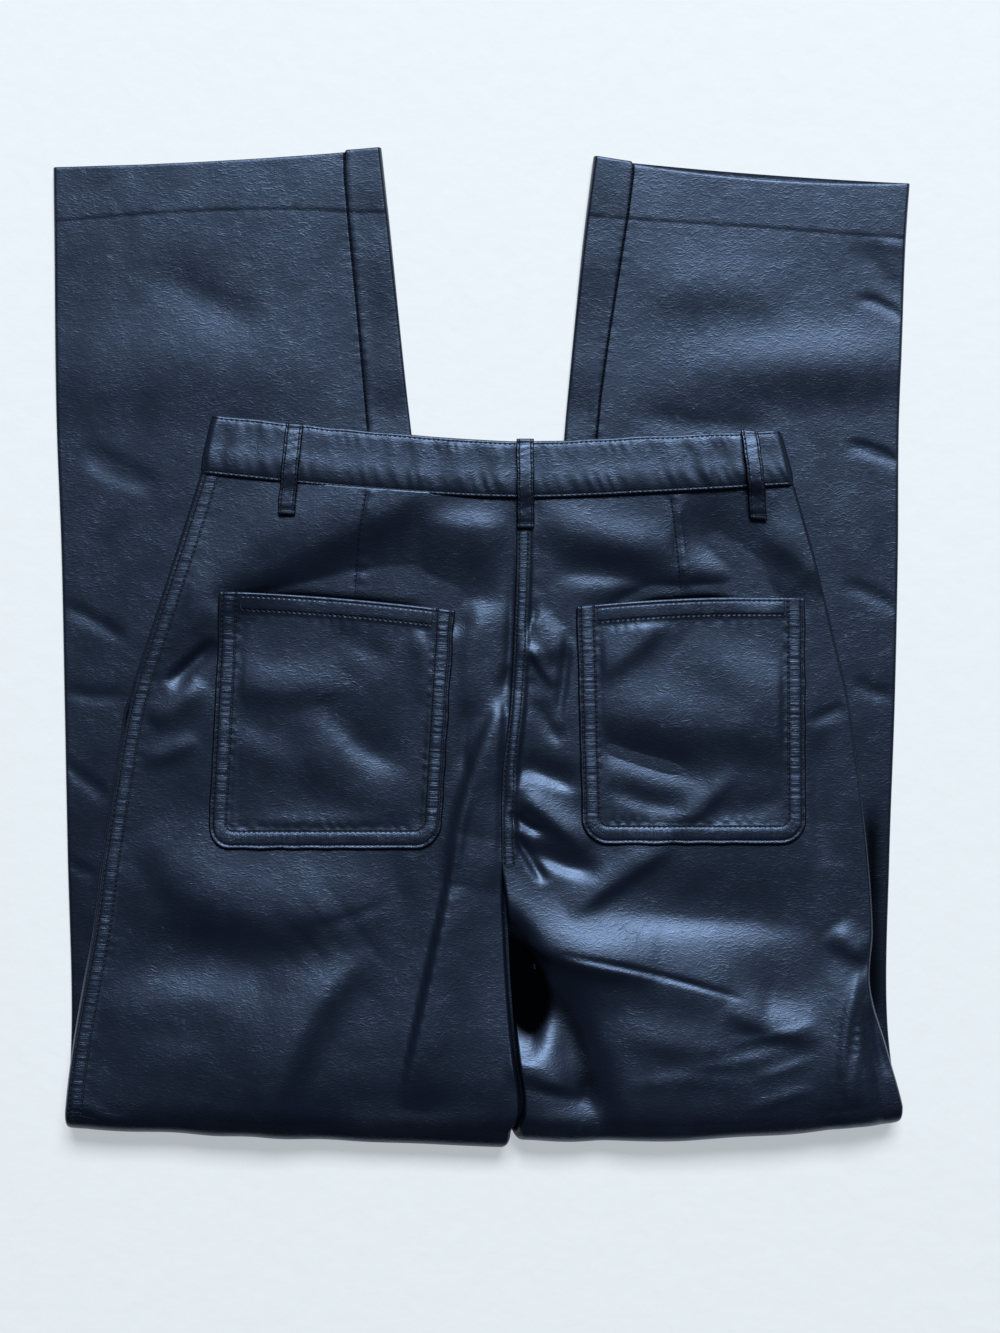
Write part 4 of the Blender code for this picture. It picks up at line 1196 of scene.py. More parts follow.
for side in ("left", "right"):
    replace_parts(front_panel(side), "front_" + side)

# %% [markdown]
# ## The hidden layers
# Between seat and lower legs lie the upper halves of the front panels, face down. Only their side
# edges and their underside can be seen, so each half is a closed flat tube and not two sheets: over
# the top, round two soft plies at the side with a groove between them, and back below. The two
# halves meet at the centre, as the front seam does. On the left one ply slips a little out of the
# stack below the pocket's mouth.

# %% Plies at the side
CORE_UNDERSIDE, CORE_TOP, CORE_TOP_INSET = 4.9, 11.0, 2.6
FRONT_DIP = 6.0
PLY_REACH = 1.7
ACROSS = 22


def front_dip(x):
    """How much lower the front of the waist lies than the back."""
    return FRONT_DIP * (1.0 - ((x - 10.0) / (WAIST / 2)) ** 2)


def lip_section(bottom, top, reach):
    """Half a section's side: down round the upper ply, into the groove, round the lower ply."""
    angles = np.linspace(0.0, np.pi, 7)
    half = (top - bottom) / 4
    upper = np.stack([np.sin(angles) * reach, top - half * (1 - np.cos(angles))], axis=-1)
    lower = np.stack([np.sin(angles) * reach, top - 2 * half - half * (1 - np.cos(angles))], axis=-1)
    return np.concatenate([upper, lower[1:]])


print("two plies in section:", len(lip_section(0.0, 2.3, PLY_REACH)), "points")


# %% One section of the hidden layers
def hidden_ring(side, row, down):
    """One section through a half, all the way round: top, outer plies, underside, inner plies."""
    sign = -1.0 if side == "left" else 1.0
    y = row[:, 1] - front_dip(row[:, 0]) * (1 - smooth(down / 0.05))
    end = smooth((1 - down) / 0.03)
    waved = 0.35 * waver(y[0], 33.0, 2.0) + 0.25 * waver(y[0], 14.0, 5.0)
    slipped = 2.9 * hump(y[0] - SLIT_Y, 15.0) if side == "left" else 0.0
    outer_x = row[0, 0] + sign * (waved - 1.6 + slipped)
    inner_x = row[-1, 0] - sign * mix(0.4, 3.2, parted(row[-1, 1] + 12.0))
    middle, count = row[1:-1], np.arange(ACROSS - 2)
    top_z = np.minimum(middle[:, 2] - CORE_TOP_INSET, CORE_TOP)
    top_z = mix(6.4, top_z, round_off(np.minimum(count, count[::-1]) / 3.0) * end)
    lip = lip_section(CORE_UNDERSIDE + 0.1, CORE_UNDERSIDE + 2.3 * (0.5 + 0.5 * end), PLY_REACH)
    outward = sign * (lip[:, 0] - PLY_REACH)
    outer = np.stack([outer_x + outward, np.full(len(lip), y[0]), lip[:, 1]], axis=-1)
    inner = np.stack([inner_x - outward, np.full(len(lip), y[-1]), lip[:, 1]], axis=-1)
    top = np.stack([middle[::-1, 0], y[1:-1][::-1], top_z[::-1]], axis=-1)
    below = np.stack([middle[:, 0], y[1:-1], np.full(ACROSS - 2, CORE_UNDERSIDE)], axis=-1)
    return np.concatenate([top, outer, below, inner[::-1]])


example = seat_grid("left", np.array([0.5]), np.linspace(0.0, 1.0, ACROSS))[0][0]
print("points round a section:", len(hidden_ring("left", example, 0.5)))


# %% Hidden layers
def hidden_layers():
    points, faces, start = [], [], 0
    downs = np.linspace(0.0, 1.0, 130)
    for side in ("left", "right"):
        seat = seat_grid(side, downs, np.linspace(0.0, 1.0, ACROSS))[0]
        rings = np.array([hidden_ring(side, row, down) for row, down in zip(seat, downs)])
        count, size = rings.shape[:2]
        index = np.arange(count * size).reshape(count, size) + start
        around = np.roll(index, -1, axis=1)
        quads = np.stack([index[:-1], around[:-1], around[1:], index[1:]], axis=-1).reshape(-1, 4)
        ends = [index[0].tolist(), index[-1][::-1].tolist()]
        if side == "right":
            faces += quads[:, ::-1].tolist() + ends
        else:
            faces += quads.tolist() + [end[::-1] for end in ends]
        points.append(rings.reshape(-1, 3))
        start += count * size
    return new_piece("hidden_layers", np.concatenate(points), faces)


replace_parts(hidden_layers(), "folded_layers")

# %% [markdown]
# ## Waistband
# A straight band of two plies, stitched along both edges, so it puffs a little between the rows and
# its edges are pinched. It is one piece from the lapped end under the left front, round the left
# side, over the back, round the right side and back under the front. A profile swept along a curve
# would do for a plain band. This one changes its width and its lean on the way, so it is a grid:
# rows across the band, and columns all along its path.

# %% Places on the band
BAND_TOP, BAND_FRONT, BAND_LAP = 13.8, 5.0, 2.3
BAND_CLOTH = 2.2
BAND_DEPTH = 36.0
BAND_ROW = 2.0
LAP_END = 18.0


def band_share(x):
    return (x - WAIST_LEFT) / WAIST


def band_place(share, width, front):
    """A place on the flat band. Width is 0 on its seam edge and 1 on its free edge, front 1 on its front."""
    seam_x = mix(float(WAIST_LEFT), float(WAIST_RIGHT), share)
    free_x = along(BAND, "free_x", seam_x, "seam_x")
    seam_y = along(BAND, "seam_y", seam_x, "seam_x") - 1.4
    free_y = along(BAND, "free_y", seam_x, "seam_x")
    return mix(seam_x, free_x, width), mix(seam_y, free_y, width) - front * front_dip(seam_x)


print("the lap ends at a share of", round(band_share(LAP_END), 3), "across the waist")


# %% The band's path
def band_path():
    """Along the band: share across the waist, middle height, front or back, and the way outwards."""
    radius = (BAND_TOP - BAND_FRONT) / 2
    middle = (BAND_TOP + BAND_FRONT) / 2
    inset = radius / WAIST
    angles = np.linspace(0, np.pi, 11)[1:-1]
    lap = np.linspace(band_share(LAP_END), band_share(LAP_END - 40.0), 12)
    climb = np.linspace(band_share(LAP_END - 40.0), band_share(LAP_END - 58.0), 8)[1:]
    climb_z = mix(BAND_LAP, BAND_FRONT, smooth(np.linspace(0, 1, 8)[1:]))
    front_left = np.linspace(climb[-1], inset, 38)[1:]
    back = np.linspace(inset, 1 - inset, 310)
    front_right = np.linspace(1 - inset, band_share(LAP_END - 20.0), 56)
    turn = inset * (1 - np.sin(angles))
    first, over, last = (np.full(count, 1.0) for count in (56, 310, 56))
    share = np.concatenate([lap, climb, front_left, turn, back, 1 - turn, front_right])
    z = np.concatenate([
        np.full(12, BAND_LAP), climb_z, np.full(37, BAND_FRONT), middle - radius * np.cos(angles),
        BAND_TOP * over, middle + radius * np.cos(angles), BAND_FRONT * last,
    ])
    front = np.concatenate([first, 1 - angles / np.pi, 0 * over, angles / np.pi, last])
    out_x = np.concatenate([0 * first, -np.sin(angles), 0 * over, np.sin(angles), 0 * last])
    out_z = np.concatenate([-first, -np.cos(angles), over, np.cos(angles), -last])
    return share, z, front, out_x, out_z


print("columns along the band:", len(band_path()[0]))


# %% Puff of the band
def band_puff(run, width, front):
    """How far the band's surface stands off its middle: puffed, pinched at the rows, and a little uneven."""
    low, high = width * BAND_DEPTH, (1 - width) * BAND_DEPTH
    edge = np.minimum(low, high)
    puff = 0.75 * np.sqrt(np.clip(1 - (2 * width - 1) ** 2, 0, 1)) - 0.9 * (1 - round_off(edge / 1.3))
    puff += 0.42 * waver(run, 23.0, 3.0) * smooth(edge / 12.0)
    puff += 0.32 * waver(run + 0.25 * low, 9.0, 1.0) * hump(low - 6.5, 6.0)
    puff += 0.18 * waver(run - 0.2 * high, 8.0, 6.0) * hump(high - 5.0, 4.0)
    puff += 0.10 * waver(run, 4.2, 2.0) * hump(edge - 3.2, 2.0)
    puff -= 0.30 * hump(edge - BAND_ROW, 0.8)
    return puff + (1 - front) * (0.95 * hump(width - 0.24, 0.26) + 0.1 * width), edge


middle_puff = band_puff(np.array([0.0]), np.array([0.5]), np.array([0.0]))[0]
print("puff in the middle of the band:", middle_puff.round(2), "mm")


# %% Waistband cloth
def waistband():
    share, z, front, out_x, out_z = band_path()
    widths = np.concatenate([[1.0, 0.985, 0.96], np.linspace(0.93, 0.07, 24), [0.04, 0.015, 0.0]])
    width, column = np.meshgrid(widths, np.arange(len(share)), indexing="ij")
    x, y = band_place(share[column], width, front[column])
    run = np.concatenate([[0.0], np.cumsum(np.hypot(np.diff(share) * WAIST, np.diff(z)))])[column]
    puff, edge = band_puff(run, width, front[column])
    y = y + 0.25 * waver(run, 37.0, 1.0) * (width > 0.9)
    seam = seam_strip(edge - BAND_ROW, run, 0.6 * (edge < 4.6))
    points = np.stack([x + puff * out_x[column], y, z[column] + puff * out_z[column]], axis=-1)
    print("band, all round:", round(run.max()), "mm")
    return cloth_grid("waistband_cloth", points, BAND_CLOTH, seam)


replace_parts(waistband(), "waistband")

# %% [markdown]
# ## Laying one piece on another
# Pockets, belt loops and stitches lie on the panels. Shrinkwrap could press them on, but it would
# also flatten them. So a ray straight down, or straight up for the hidden front, finds the
# outermost surface at each place, and the piece gets its own shape on top of that.


# %% Finding the surface
def surface_of(*names):
    trees = []
    for name in names:
        mesh = made[name].data
        points = [vertex.co / MM for vertex in mesh.vertices]
        trees.append(BVHTree.FromPolygons(points, [tuple(face.vertices) for face in mesh.polygons]))
    return trees


DOWN, UP = Vector((0, 0, -1)), Vector((0, 0, 1))


def height_at(trees, x, y, way=DOWN, missing=10.0):
    """Height of the outermost surface at places, seen from above or, with way UP, from below."""
    heights = np.empty(np.shape(x))
    for spot in np.ndindex(heights.shape):
        origin = Vector((float(x[spot]), float(y[spot]), -50.0 * way.z))
        hits = [tree.ray_cast(origin, way)[0] for tree in trees]
        found = [hit.z for hit in hits if hit]
        heights[spot] = (max(found) if way.z < 0 else min(found)) if found else missing
    return heights


panels = surface_of("back_left_panel", "back_right_panel")
on_thigh = height_at(panels, np.array([-150.0]), np.array([-220.0]))
print("height of the left thigh:", on_thigh[0].round(1), "mm")

# %% [markdown]
# ## Stitches
# A stitch is the short piece of thread that shows between two needle holes. A dashed line in the
# finish would look flat from the side, and a curve for every thread would be heavy. Each stitch is
# a small flattened capsule whose ends dip into the cloth, turned along its row and tipped to the
# slope under it. All the stitches of a seam are one mesh.

# %% One stitch
STITCH_LENGTH = 2.2
STITCH_PROFILE = ((-1.0, 0.05), (-0.82, 0.7), (-0.3, 1.0), (0.3, 1.0), (0.82, 0.7), (1.0, 0.05))
HALF_WIDE, HALF_HIGH, LIFT, END_DIP = 0.27, 0.21, 0.10, 0.30
STITCH_SIDES = 6


def stitch_shape():
    """A capsule along X, flattened, with its ends bent down."""
    turns = np.linspace(0, 2 * np.pi, STITCH_SIDES + 1)[:-1]
    rings = [
        np.stack([np.full(STITCH_SIDES, share * STITCH_LENGTH / 2), HALF_WIDE * width * np.cos(turns),
                  HALF_HIGH * width * np.sin(turns) + LIFT - END_DIP * share**2], axis=-1)
        for share, width in STITCH_PROFILE
    ]
    index = np.arange(len(rings) * STITCH_SIDES).reshape(len(rings), STITCH_SIDES)
    around = np.roll(index, -1, axis=1)
    faces = np.stack([index[:-1], index[1:], around[1:], around[:-1]], axis=-1)
    return np.concatenate(rings), faces.reshape(-1, 4)


def resample(line, pitch):
    """Places at equal steps along a line."""
    line = np.asarray(line, float)
    lengths = np.concatenate([[0.0], np.cumsum(np.hypot(*np.diff(line, axis=0).T))])
    stops = np.arange(pitch / 2, lengths[-1], pitch)
    return np.stack([np.interp(stops, lengths, line[:, 0]), np.interp(stops, lengths, line[:, 1])], axis=-1)


print("one stitch:", STITCH_LENGTH, "mm long,", len(stitch_shape()[1]), "faces")


# %% Rows of stitches
def unit(vectors):
    return vectors / np.linalg.norm(vectors, axis=1)[:, None]


def stitch_row(line, shape, trees, way, pitch, half):
    """The points of all stitches along one line in plan, lying on a surface."""
    middle = resample(line, pitch)
    course = unit(np.gradient(middle, axis=0))
    ends = [middle - course * half, middle, middle + course * half]
    z0, z1, z2 = [height_at(trees, end[:, 0], end[:, 1], way) for end in ends]
    tangent = unit(np.concatenate([course * 2 * half, (z2 - z0)[:, None]], axis=1))
    centre = np.concatenate([middle, ((z0 + z2 + 2 * z1) / 4)[:, None]], axis=1)
    beside = unit(np.cross(np.array([0.0, 0.0, -way.z]), tangent))
    normal = np.cross(tangent, beside)
    return (shape[None, :, 0:1] * tangent[:, None] + shape[None, :, 1:2] * beside[:, None]
            + shape[None, :, 2:3] * normal[:, None] + centre[:, None]).reshape(-1, 3)


def stitches(name, lines, trees, way=DOWN, pitch=STITCH_PITCH, scale=1.0):
    shape, faces = stitch_shape()
    shape = shape * (scale, 1.0, 1.0)
    half = STITCH_LENGTH * scale * 0.45
    points = np.concatenate([stitch_row(line, shape, trees, way, pitch, half) for line in lines])
    starts = np.arange(len(points) // len(shape)) * len(shape)
    quads = (faces[None] + starts[:, None, None]).reshape(-1, 4)
    return new_piece(name, points, quads.tolist(), thread)


# %% Stitches of the side seam and the centre seam
def edge_line(side, which, inset, first, last):
    """A line down the seat at a distance inside a panel's outer or inner edge."""
    y = seat_y(side, 0.0 if which == "outer" else 1.0, np.linspace(0.0, 1.0, 160))
    x = along(SEAT, side if which == "outer" else side + "_in", y)
    towards = 1.0 if (side == "left") == (which == "outer") else -1.0
    return np.stack([x + towards * inset, y], axis=-1)[(y < first) & (y > last)]


side_rows = [edge_line("left", "outer", inset, 110.0, -303.0) for inset in SIDE_STRIP]
lap_rows = [edge_line("right", "inner", inset, 94.0, CROTCH_Y - 5) for inset in LAP_STRIP]
stitches("stitches_seat", side_rows + lap_rows, panels)

# %% [markdown]
# ## Pockets
# Two patch pockets. Their edges are turned under and held by two rows of stitches, nine millimetres
# apart, with the cloth gathered a little between them. The mouth has a hem with the same two rows,
# and it stands off the seat a little in the middle, so there is a dark gap above it, its shade
# partly painted. A pocket could be cut out of the panel's own grid, but then it couldn't have an
# edge that stands up. It is a sheet of its own that follows the crown under it, smoothed, and adds
# the bulge of its turned edges and a few folds.

# %% Pockets and their folds
POCKETS = table(
    "pocket mouth_left mouth_left_y mouth_right mouth_right_y foot_left foot_right foot_y bow",
    ("left", -165.6, 35, -17, 23, -173.5, -26, -128, 2.0),
    ("right", 60, 25.5, 205, 31, 64, 205.5, -125, 2.6),
)
POCKET_CORNER = 16.0
POCKET_ROWS = (2.5, 11.0)
PATCH_CLOTH = 1.4
POCKET_FOLDS = table(
    CREASE_COLUMNS,
    ("left, upper swell", -162, -19, -124, -27, -86, -19, 1.7, 15, 10),
    ("left, crescent", -100, 8, -79, 2, -56, -12, -0.7, 8, 8),
    ("left, swell by the side", -47, 10, -34, -8, -34, -36, 1.2, 5, 9),
    ("left, hollow by the side", -166, -36, -142, -51, -104, -78, -0.8, 13, 10),
    ("left, middle hollow", -99, -30, -81, -58, -46, -77, -1.4, 14, 8),
    ("left, slanting swell", -112, -40, -88, -80, -40, -103, 1.4, 18, 14),
    ("left, low swell", -160, -58, -128, -68, -96, -80, 1.0, 12, 12),
    ("left, foot swell", -150, -110, -110, -113, -60, -111, 0.9, 8, 7),
    ("right, slanting swell", 116, 20, 97, 0, 70, -20, 2.2, 8, 18),
    ("right, upper swell", 126, 2, 158, -16, 208, -34, 1.8, 18, 18),
    ("right, swell across", 70, -38, 124, -47, 208, -56, 3.0, 24, 17),
    ("right, hollow across", 56, -54, 98, -70, 148, -84, -2.4, 12, 9),
    ("right, low hollow", 80, -88, 104, -98, 130, -100, -1.4, 8, 6),
    ("right, slanting ridge", 108, -126, 134, -106, 162, -78, 1.6, 8, 6),
    ("right, foot hollow", 140, -106, 170, -102, 196, -94, -1.0, 8, 8),
)
print("pocket mouths:", [pocket["mouth_right"] - pocket["mouth_left"] for pocket in POCKETS], "mm")


# %% Outline of a pocket
def pocket_outline(pocket, inset, corner):
    """The pocket's sides and foot as a line, a distance inside its edge, with round corners."""
    turns = np.linspace(0, np.pi / 2, 9)
    foot_y = pocket["foot_y"] + inset
    lean_left, lean_right = [
        (pocket["mouth_" + end] - pocket["foot_" + end]) / (pocket["mouth_" + end + "_y"] - pocket["foot_y"])
        for end in ("left", "right")
    ]
    left, right = pocket["foot_left"] + inset, pocket["foot_right"] - inset
    line = [(pocket["mouth_left"] + inset, pocket["mouth_left_y"])]
    for turn in turns:
        y = foot_y + corner * (1 - np.sin(turn))
        line.append((left + corner * (1 - np.cos(turn)) + lean_left * (y - foot_y), y))
    for turn in turns[::-1]:
        y = foot_y + corner * (1 - np.sin(turn))
        line.append((right - corner * (1 - np.cos(turn)) + lean_right * (y - foot_y), y))
    line.append((pocket["mouth_right"] - inset, pocket["mouth_right_y"]))
    return np.array(line)


def mouth_y(pocket, across):
    """The mouth droops a little towards the middle or bows up, and is pulled at its two ends."""
    flat = mix(pocket["mouth_left_y"], pocket["mouth_right_y"], across)
    return flat + pocket["bow"] * 4 * across * (1 - across)


print("points on a pocket's outline:", len(pocket_outline(POCKETS[0], 0.0, POCKET_CORNER)))

# %% Places on a pocket
POCKET_WIDE, POCKET_HIGH = 148.0, 156.0
POCKET_EDGE_STEPS = np.array([0, 0.5, 1.1, 1.8, 2.5, 3.3, 4.2])


def pocket_places(pocket):
    """Places on a pocket, the share across, the distances to side and mouth, and the length round it."""
    edge = POCKET_EDGE_STEPS / POCKET_WIDE
    acrosses = np.concatenate([edge, np.linspace(0.036, 0.964, 106), 1 - edge[::-1]])
    edge = POCKET_EDGE_STEPS / POCKET_HIGH
    downs = np.concatenate([edge, np.linspace(0.034, 0.966, 114), 1 - edge[::-1]])
    down, across = np.meshgrid(downs, acrosses, indexing="ij")
    y = mix(mouth_y(pocket, across), pocket["foot_y"], down)
    left = mix(pocket["mouth_left"], pocket["foot_left"], down)
    right = mix(pocket["mouth_right"], pocket["foot_right"], down)
    corner = POCKET_CORNER * (1 - round_off((y - pocket["foot_y"]) / POCKET_CORNER))
    x = mix(left + corner, right - corner, across)
    from_side, run, _ = near_line(x, y, pocket_outline(pocket, 0.0, POCKET_CORNER))
    from_side, from_mouth = np.abs(from_side), mouth_y(pocket, across) - y
    x += 0.35 * waver(run, 29.0, 1.0) * hump(from_side, 5.0)
    y += 0.30 * waver(run, 23.0, 3.0) * hump(from_side, 5.0) * (down > 0.5)
    return x, y, across, from_side, from_mouth, run


print("grid of a pocket:", pocket_places(POCKETS[0])[0].shape)

# %% Height of a pocket
MOUTH_STANDS = 0.9


def smoothed_crown(x, y):
    """The seat's height under a pocket, without the creases that a second layer of cloth bridges."""
    under = seat_crown(x, y)
    for _ in range(6):
        under[1:-1, 1:-1] = (under[:-2, 1:-1] + under[2:, 1:-1] + under[1:-1, :-2] + under[1:-1, 2:]) / 4
    return under


def pocket_rise(x, y, across, run, nearest, from_mouth):
    """Height of a pocket over the seat without its seam: turned edges, folds, and the raised mouth."""
    rise = 0.55 * (1 - smooth((nearest - POCKET_ROWS[1] - 0.3) / 2.2))
    rise += 0.15 * smooth(nearest / 30.0) - 0.75 * (1 - round_off(nearest / 1.5))
    rise += 0.28 * waver(run, 8.5, 2.0) * hump(nearest - POCKET_ROWS[1] - 3.0, 3.0)
    rise += 0.16 * waver(run, 11.0, 7.0) * hump(nearest, 4.0)
    inside = smooth((nearest - POCKET_ROWS[1]) / 8.0)
    rise += crease_height(POCKET_FOLDS, x, y) * mix(0.35, 1.0, inside)
    stand = 4 * across * (1 - across)
    return rise + MOUTH_STANDS * stand**0.5 * np.clip(1 - from_mouth / 40.0, 0, 1) ** 2


print("a pocket's mouth stands off by", MOUTH_STANDS, "mm in its middle")


# %% Pocket cloth
MOUTH_SEAM_SHARE = 0.4


def pocket_cloth(pocket):
    name = "pocket_" + pocket["pocket"]
    x, y, across, from_side, from_mouth, run = pocket_places(pocket)
    nearest = np.minimum(from_side, from_mouth)
    at_side = from_side < POCKET_ROWS[1] + 2.5
    across_strip, run = np.where(at_side, from_side, from_mouth), np.where(at_side, run, x)
    share_of_seam = np.where(at_side, 1.0, MOUTH_SEAM_SHARE)
    grooves = 0.22 * hump(nearest - POCKET_ROWS[0], 0.9) + 0.30 * hump(nearest - POCKET_ROWS[1], 1.0)
    puff = strip_puff(across_strip, run, POCKET_ROWS, 3.0 + len(name)) * 1.15
    z = smoothed_crown(x, y) + PATCH_CLOTH + 0.25 + pocket_rise(x, y, across, run, nearest, from_mouth)
    z += (puff - grooves) * share_of_seam
    seam = seam_strip(across_strip, run, (nearest < POCKET_ROWS[1] + 3.0) * share_of_seam, POCKET_ROWS)
    # Painted shade along the pocket's sides and in the grooves of its mouth's rows.
    side_edge = 0.85 * (1 - smooth((from_side - 0.2) / 0.8)) * smooth(from_mouth / 4.0)
    seam["painted_shade"] = np.maximum(side_edge, 2.4 * grooves * ~at_side)
    return cloth_grid(name + "_cloth", np.stack([x, y, z], axis=-1), PATCH_CLOTH, seam)


for pocket in POCKETS:
    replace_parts(pocket_cloth(pocket), "pocket_" + pocket["pocket"])

# %% Pocket stitches
MOUTH_ROW_ENDS = (0.085, 0.915)
INNER_CORNERS = (13.5, 8.0)

for pocket in POCKETS:
    name = "pocket_" + pocket["pocket"]
    share = np.linspace(*MOUTH_ROW_ENDS, 60)
    mouth_x = mix(pocket["mouth_left"], pocket["mouth_right"], share)
    rows = [pocket_outline(pocket, inset, corner) for inset, corner in zip(POCKET_ROWS, INNER_CORNERS)]
    rows += [np.stack([mouth_x, mouth_y(pocket, share) - inset], axis=-1) for inset in POCKET_ROWS]
    stitches("stitches_" + name, rows, surface_of(name + "_cloth"))

# %% [markdown]
# ## Belt loops
# Each loop is a narrow strip, folded to three plies and stitched near both edges. Its ends are
# turned under and held by bar tacks, dense short stitches across. Between the tacks it bows up off
# the waistband. A bent box would look like card here. The loop is a fine grid on a course that lies
# on whatever is highest under it, smoothed, so that it bridges from band to seat.

# %% Belt loops
LOOPS = table(
    "loop top_x foot_x top_y foot_y bow tilt",
    ("left", -118, -123.5, 141.0, 83.5, 1.2, 0.3),
    ("centre", 27.5, 28, 131.5, 75.0, 1.3, 0.0),
    ("right", 169.2, 175.6, 137.0, 80.5, 2.4, 0.5),
)
LOOP_WIDTH, LOOP_LENGTH, LOOP_CLOTH = 11.0, 57.0, 1.9
LOOP_ROW = 1.5
LOOP_STEPS = np.array([0, 0.35, 0.8, 1.4, 2.0, 2.8, 4.0, 5.5, 7.0, 8.2, 9.0, 9.6, 10.2, 10.65, 11.0])
LOOP_SPOTS = 64
print("a loop:", LOOP_WIDTH, "by", LOOP_LENGTH, "mm")


# %% Course of a belt loop
def on_loop(loop, down):
    """A place on a loop's middle line."""
    return mix(loop["top_x"], loop["foot_x"], down), mix(loop["top_y"], loop["foot_y"], down)


def loop_course(loop, downs, trees):
    """Height of the surface under a loop, as a stiff strip feels it."""
    x, y = on_loop(loop, downs)
    under = np.max([height_at(trees, x + off, y) for off in (-LOOP_WIDTH / 2, 0, LOOP_WIDTH / 2)], axis=0)
    under = np.array([under[max(i - 3, 0) : i + 4].max() for i in range(len(downs))])
    for _ in range(8):
        under[1:-1] = (under[:-2] + under[1:-1] + under[2:]) / 3
    return under


covered = panels + surface_of("waistband_cloth")
course = loop_course(LOOPS[1], np.linspace(0, 1, LOOP_SPOTS), covered)
print("under the centre loop, from its top to its foot, mm:", course[::21].round(1))


# %% Belt loops' cloth
def belt_loop(loop, trees):
    downs = np.linspace(0, 1, LOOP_SPOTS)
    down, across = np.meshgrid(downs, LOOP_STEPS / LOOP_WIDTH, indexing="ij")
    x, y = on_loop(loop, down)
    ripple = 0.22 * waver(down * 56.0, 17.0, loop["top_x"])
    x = x + (across - 0.5) * LOOP_WIDTH + ripple * np.abs(across - 0.5) * 2
    y = y - 2.0 * (across - 0.5) * loop["tilt"]
    edge = np.minimum(across, 1 - across) * LOOP_WIDTH
    ends = np.minimum(down, 1 - down) * LOOP_LENGTH
    z = loop_course(loop, downs, trees)[:, None] + LOOP_CLOTH + 0.3
    z = z + loop["bow"] * np.sin(np.pi * down) ** 0.8
    z = z + 0.35 * smooth((edge - 0.8) / 1.6) - 0.6 * (1 - round_off(edge / 1.1))
    z = z - 0.5 * (1 - round_off(ends / 1.4)) - 0.55 * hump(ends - 3.0, 1.5)
    z = z + 0.16 * waver(down * LOOP_LENGTH + 3 * across, 6.5, loop["foot_x"]) * hump(edge - 2.5, 2.0)
    seam = seam_strip(edge - LOOP_ROW, down * LOOP_LENGTH, (edge < 3.5).astype(float))
    # Painted shade along the loop's two edges.
    seam["painted_shade"] = 0.9 * (1 - smooth((edge - 0.25) / 0.6))
    return cloth_grid("belt_loop_" + loop["loop"] + "_cloth", np.stack([x, y, z], axis=-1), LOOP_CLOTH, seam)


for loop in LOOPS:
    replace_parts(belt_loop(loop, covered), "belt_loop_" + loop["loop"])

# %% Stitches and bar tacks of the belt loops
TACK_SHARES = (0.05, 0.955)
TACK_STEPS = np.arange(-4.0, 4.1, 0.72)
LOOP_ROW_INSET = 4.0

loop_surface = surface_of(*["belt_loop_" + loop["loop"] + "_cloth" for loop in LOOPS])
loop_rows, tacks = [], []
for loop in LOOPS:
    x, y = on_loop(loop, np.linspace(0.07, 0.93, 20))
    loop_rows += [np.stack([x + inset, y], axis=-1) for inset in (-LOOP_ROW_INSET, LOOP_ROW_INSET)]
    for share in TACK_SHARES:
        x, y = on_loop(loop, share)
        tacks += [[(x + step - 0.3, y - 1.4), (x + step + 0.3, y + 1.4)] for step in TACK_STEPS]
stitches("stitches_loops", loop_rows, loop_surface)
stitches("stitches_tacks", tacks, loop_surface, pitch=1.35, scale=0.55)

# %% Stitches of the waistband
BAND_ENDS = (0.008, 0.992)
BAND_ROW_WIDTHS = (BAND_ROW / BAND_DEPTH, 1 - BAND_ROW / BAND_DEPTH)

band_surface = surface_of("waistband_cloth")
lap = band_share(LAP_END)
over_back, under_front = [], []
for width in BAND_ROW_WIDTHS:
    over_back.append(np.stack(band_place(np.linspace(*BAND_ENDS, 200), width, 0.0), axis=-1))
    for first, last in ((BAND_ENDS[0], lap - 0.006), (lap + 0.004, BAND_ENDS[1])):
        under_front.append(np.stack(band_place(np.linspace(first, last, 100), width, 1.0), axis=-1))
stitches("stitches_waistband", over_back, band_surface)
stitches("stitches_waistband_front", under_front, band_surface, way=UP)

# %% [markdown]
# ## Fly and button
# They lie on the hidden front, so only the underside shows them. The fly's facing is a strip with a
# curved foot, held by a curved row of stitches. The button is a flat moulded disc with four holes.
# Cutting the holes with booleans would leave sharp rims, and moulded plastic has none: its face is
# turned from a profile like a bowl, with a soft pit for each hole.

# %% Fly facing
FLY_X, FLY_WIDTH, FLY_LENGTH = 16.0, 32.0, 165.0
FLY_TOP = band_place(np.array(band_share(FLY_X)), 0.0, 1.0)[1] - 1.2
FLY_ROW = 3.0


def fly_width(down):
    """Full to near the foot, and then narrowing on a curve."""
    return FLY_WIDTH * mix(0.2, 1.0, round_off((1 - down) / 0.2))


def fly_facing():
    down, across = np.meshgrid(np.linspace(0, 1, 90), np.linspace(0, 1, 20), indexing="ij")
    width = fly_width(down)
    x, y = FLY_X - width * across, FLY_TOP - FLY_LENGTH * down
    edge = np.minimum(across * width, (1 - across) * width)
    z = CORE_UNDERSIDE - 1.5 + 0.5 * (1 - round_off(edge / 1.2)) + 0.12 * waver(down * FLY_LENGTH, 19.0, 1.0)
    seam = seam_strip(edge - FLY_ROW, down * FLY_LENGTH, (edge < 6.0).astype(float))
    return cloth_grid("fly_facing", np.stack([x, y, z], axis=-1), CLOTH, seam)


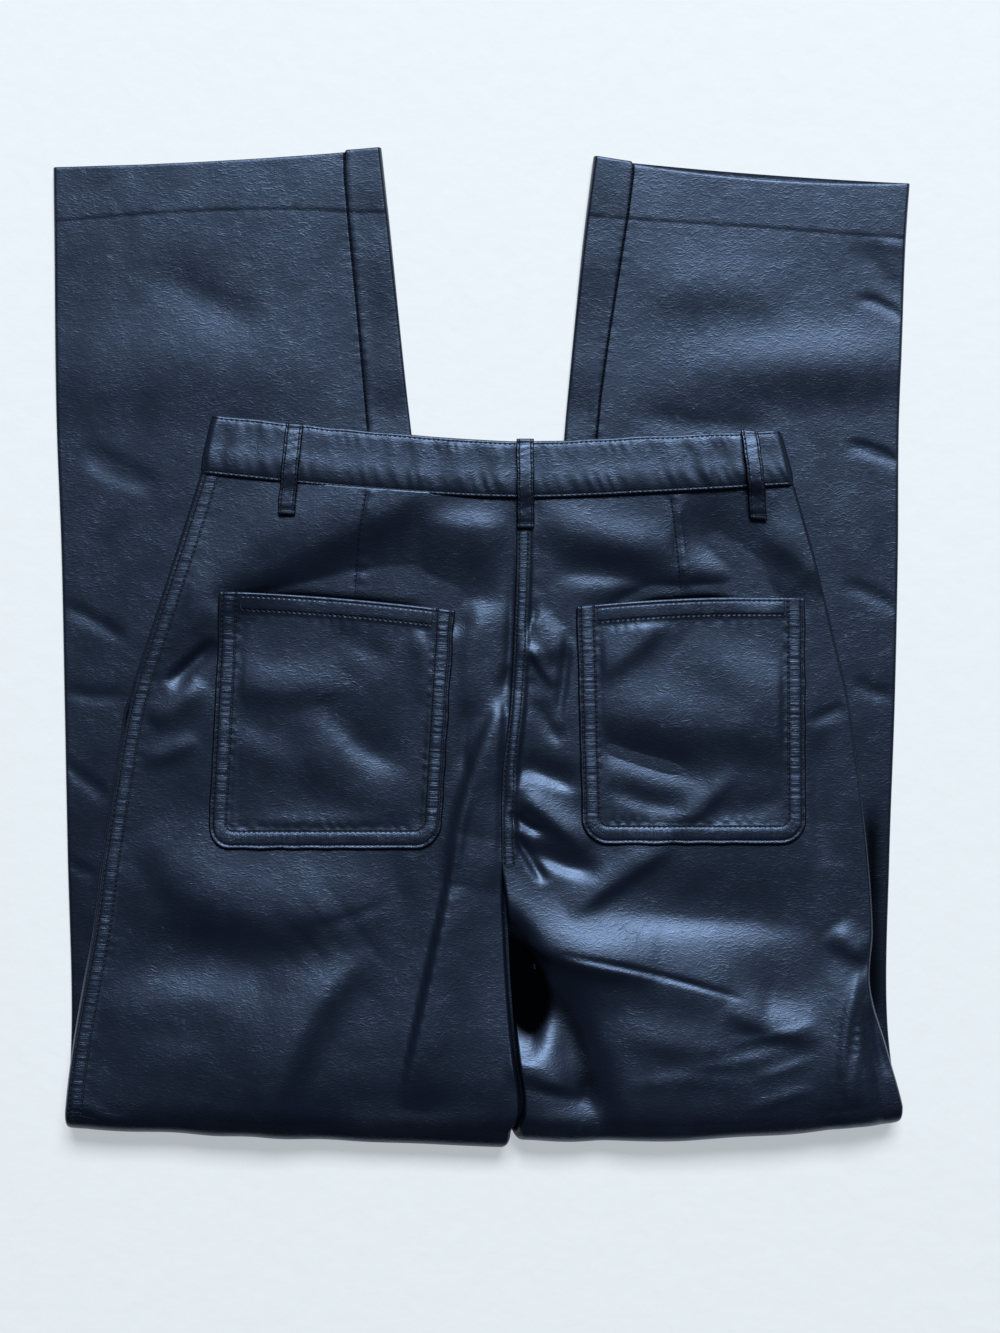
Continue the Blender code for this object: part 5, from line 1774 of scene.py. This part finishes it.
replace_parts(fly_facing(), "fly_placket")
downs = np.linspace(0.01, 0.985, 80)
fly_y = FLY_TOP - FLY_LENGTH * downs
curve = np.stack([FLY_X - fly_width(downs) + FLY_ROW, fly_y], axis=-1)
straight = np.stack([np.full(80, FLY_X - FLY_ROW), fly_y], axis=-1)
stitches("stitches_fly", [curve, straight], surface_of("fly_facing"), way=UP)

# %% Face of the button
BUTTON_RADIUS, BUTTON_DEPTH, BUTTON_RIM = 8.5, 1.7, 0.4
HOLE_OFFSET, HOLE_RADIUS, PIT_DEPTH = 1.5, 1.25, 0.9


def button_face(x, y, ring):
    """Height of the button's face: a rim, a flat hollow, and four pits for the thread."""
    face = BUTTON_DEPTH / 2 - 0.45 * smooth((6.4 - ring) / 1.2) - 0.35 * (ring / BUTTON_RADIUS) ** 8
    for side_x, side_y in ((1, 1), (-1, 1), (1, -1), (-1, -1)):
        from_hole = np.hypot(x - side_x * HOLE_OFFSET, y - side_y * HOLE_OFFSET)
        face -= PIT_DEPTH * smooth((HOLE_RADIUS - from_hole) / 0.5)
    return face


middle_face = button_face(*np.zeros((3, 1)))
print("the face lies", (BUTTON_DEPTH / 2 - middle_face).round(2), "mm below the rim in its middle")


# %% Button piece
def button():
    low, high = (np.array(corner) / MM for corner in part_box("waist_button"))
    centre = (low + high) / 2
    rim = BUTTON_RADIUS + (np.cos(np.linspace(1.9, 0, 6)) - 1) * BUTTON_RIM
    rings = np.concatenate([np.linspace(0.01, 7.9, 44), rim])
    ring, turn = np.meshgrid(rings, np.linspace(0, 2 * np.pi, 97)[:-1], indexing="ij")
    x, y = ring * np.cos(turn), ring * np.sin(turn)
    back = 0.3 * (ring / BUTTON_RADIUS) ** 8 - BUTTON_DEPTH / 2
    sides = [np.stack([x, y, height], axis=-1) + centre for height in (-button_face(x, y, ring), -back)]
    index, count = np.arange(ring.size).reshape(ring.shape), ring.size
    around = np.roll(index, -1, axis=1)
    quads = np.stack([index[:-1], index[1:], around[1:], around[:-1]], axis=-1).reshape(-1, 4)
    wall = np.stack([index[-1], index[-1] + count, around[-1] + count, around[-1]], axis=-1)
    faces = quads[:, ::-1].tolist() + (quads + count).tolist() + wall.tolist()
    faces += [index[0][::-1].tolist(), (index[0] + count).tolist()]
    return new_piece("button_face", np.stack(sides), faces, button_finish)


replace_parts(button(), "waist_button")

# %% [markdown]
# ## Pieces made
# The script prints how many pieces it has made.

print("pieces made:", len(made))

# %% [markdown]
# ## The end
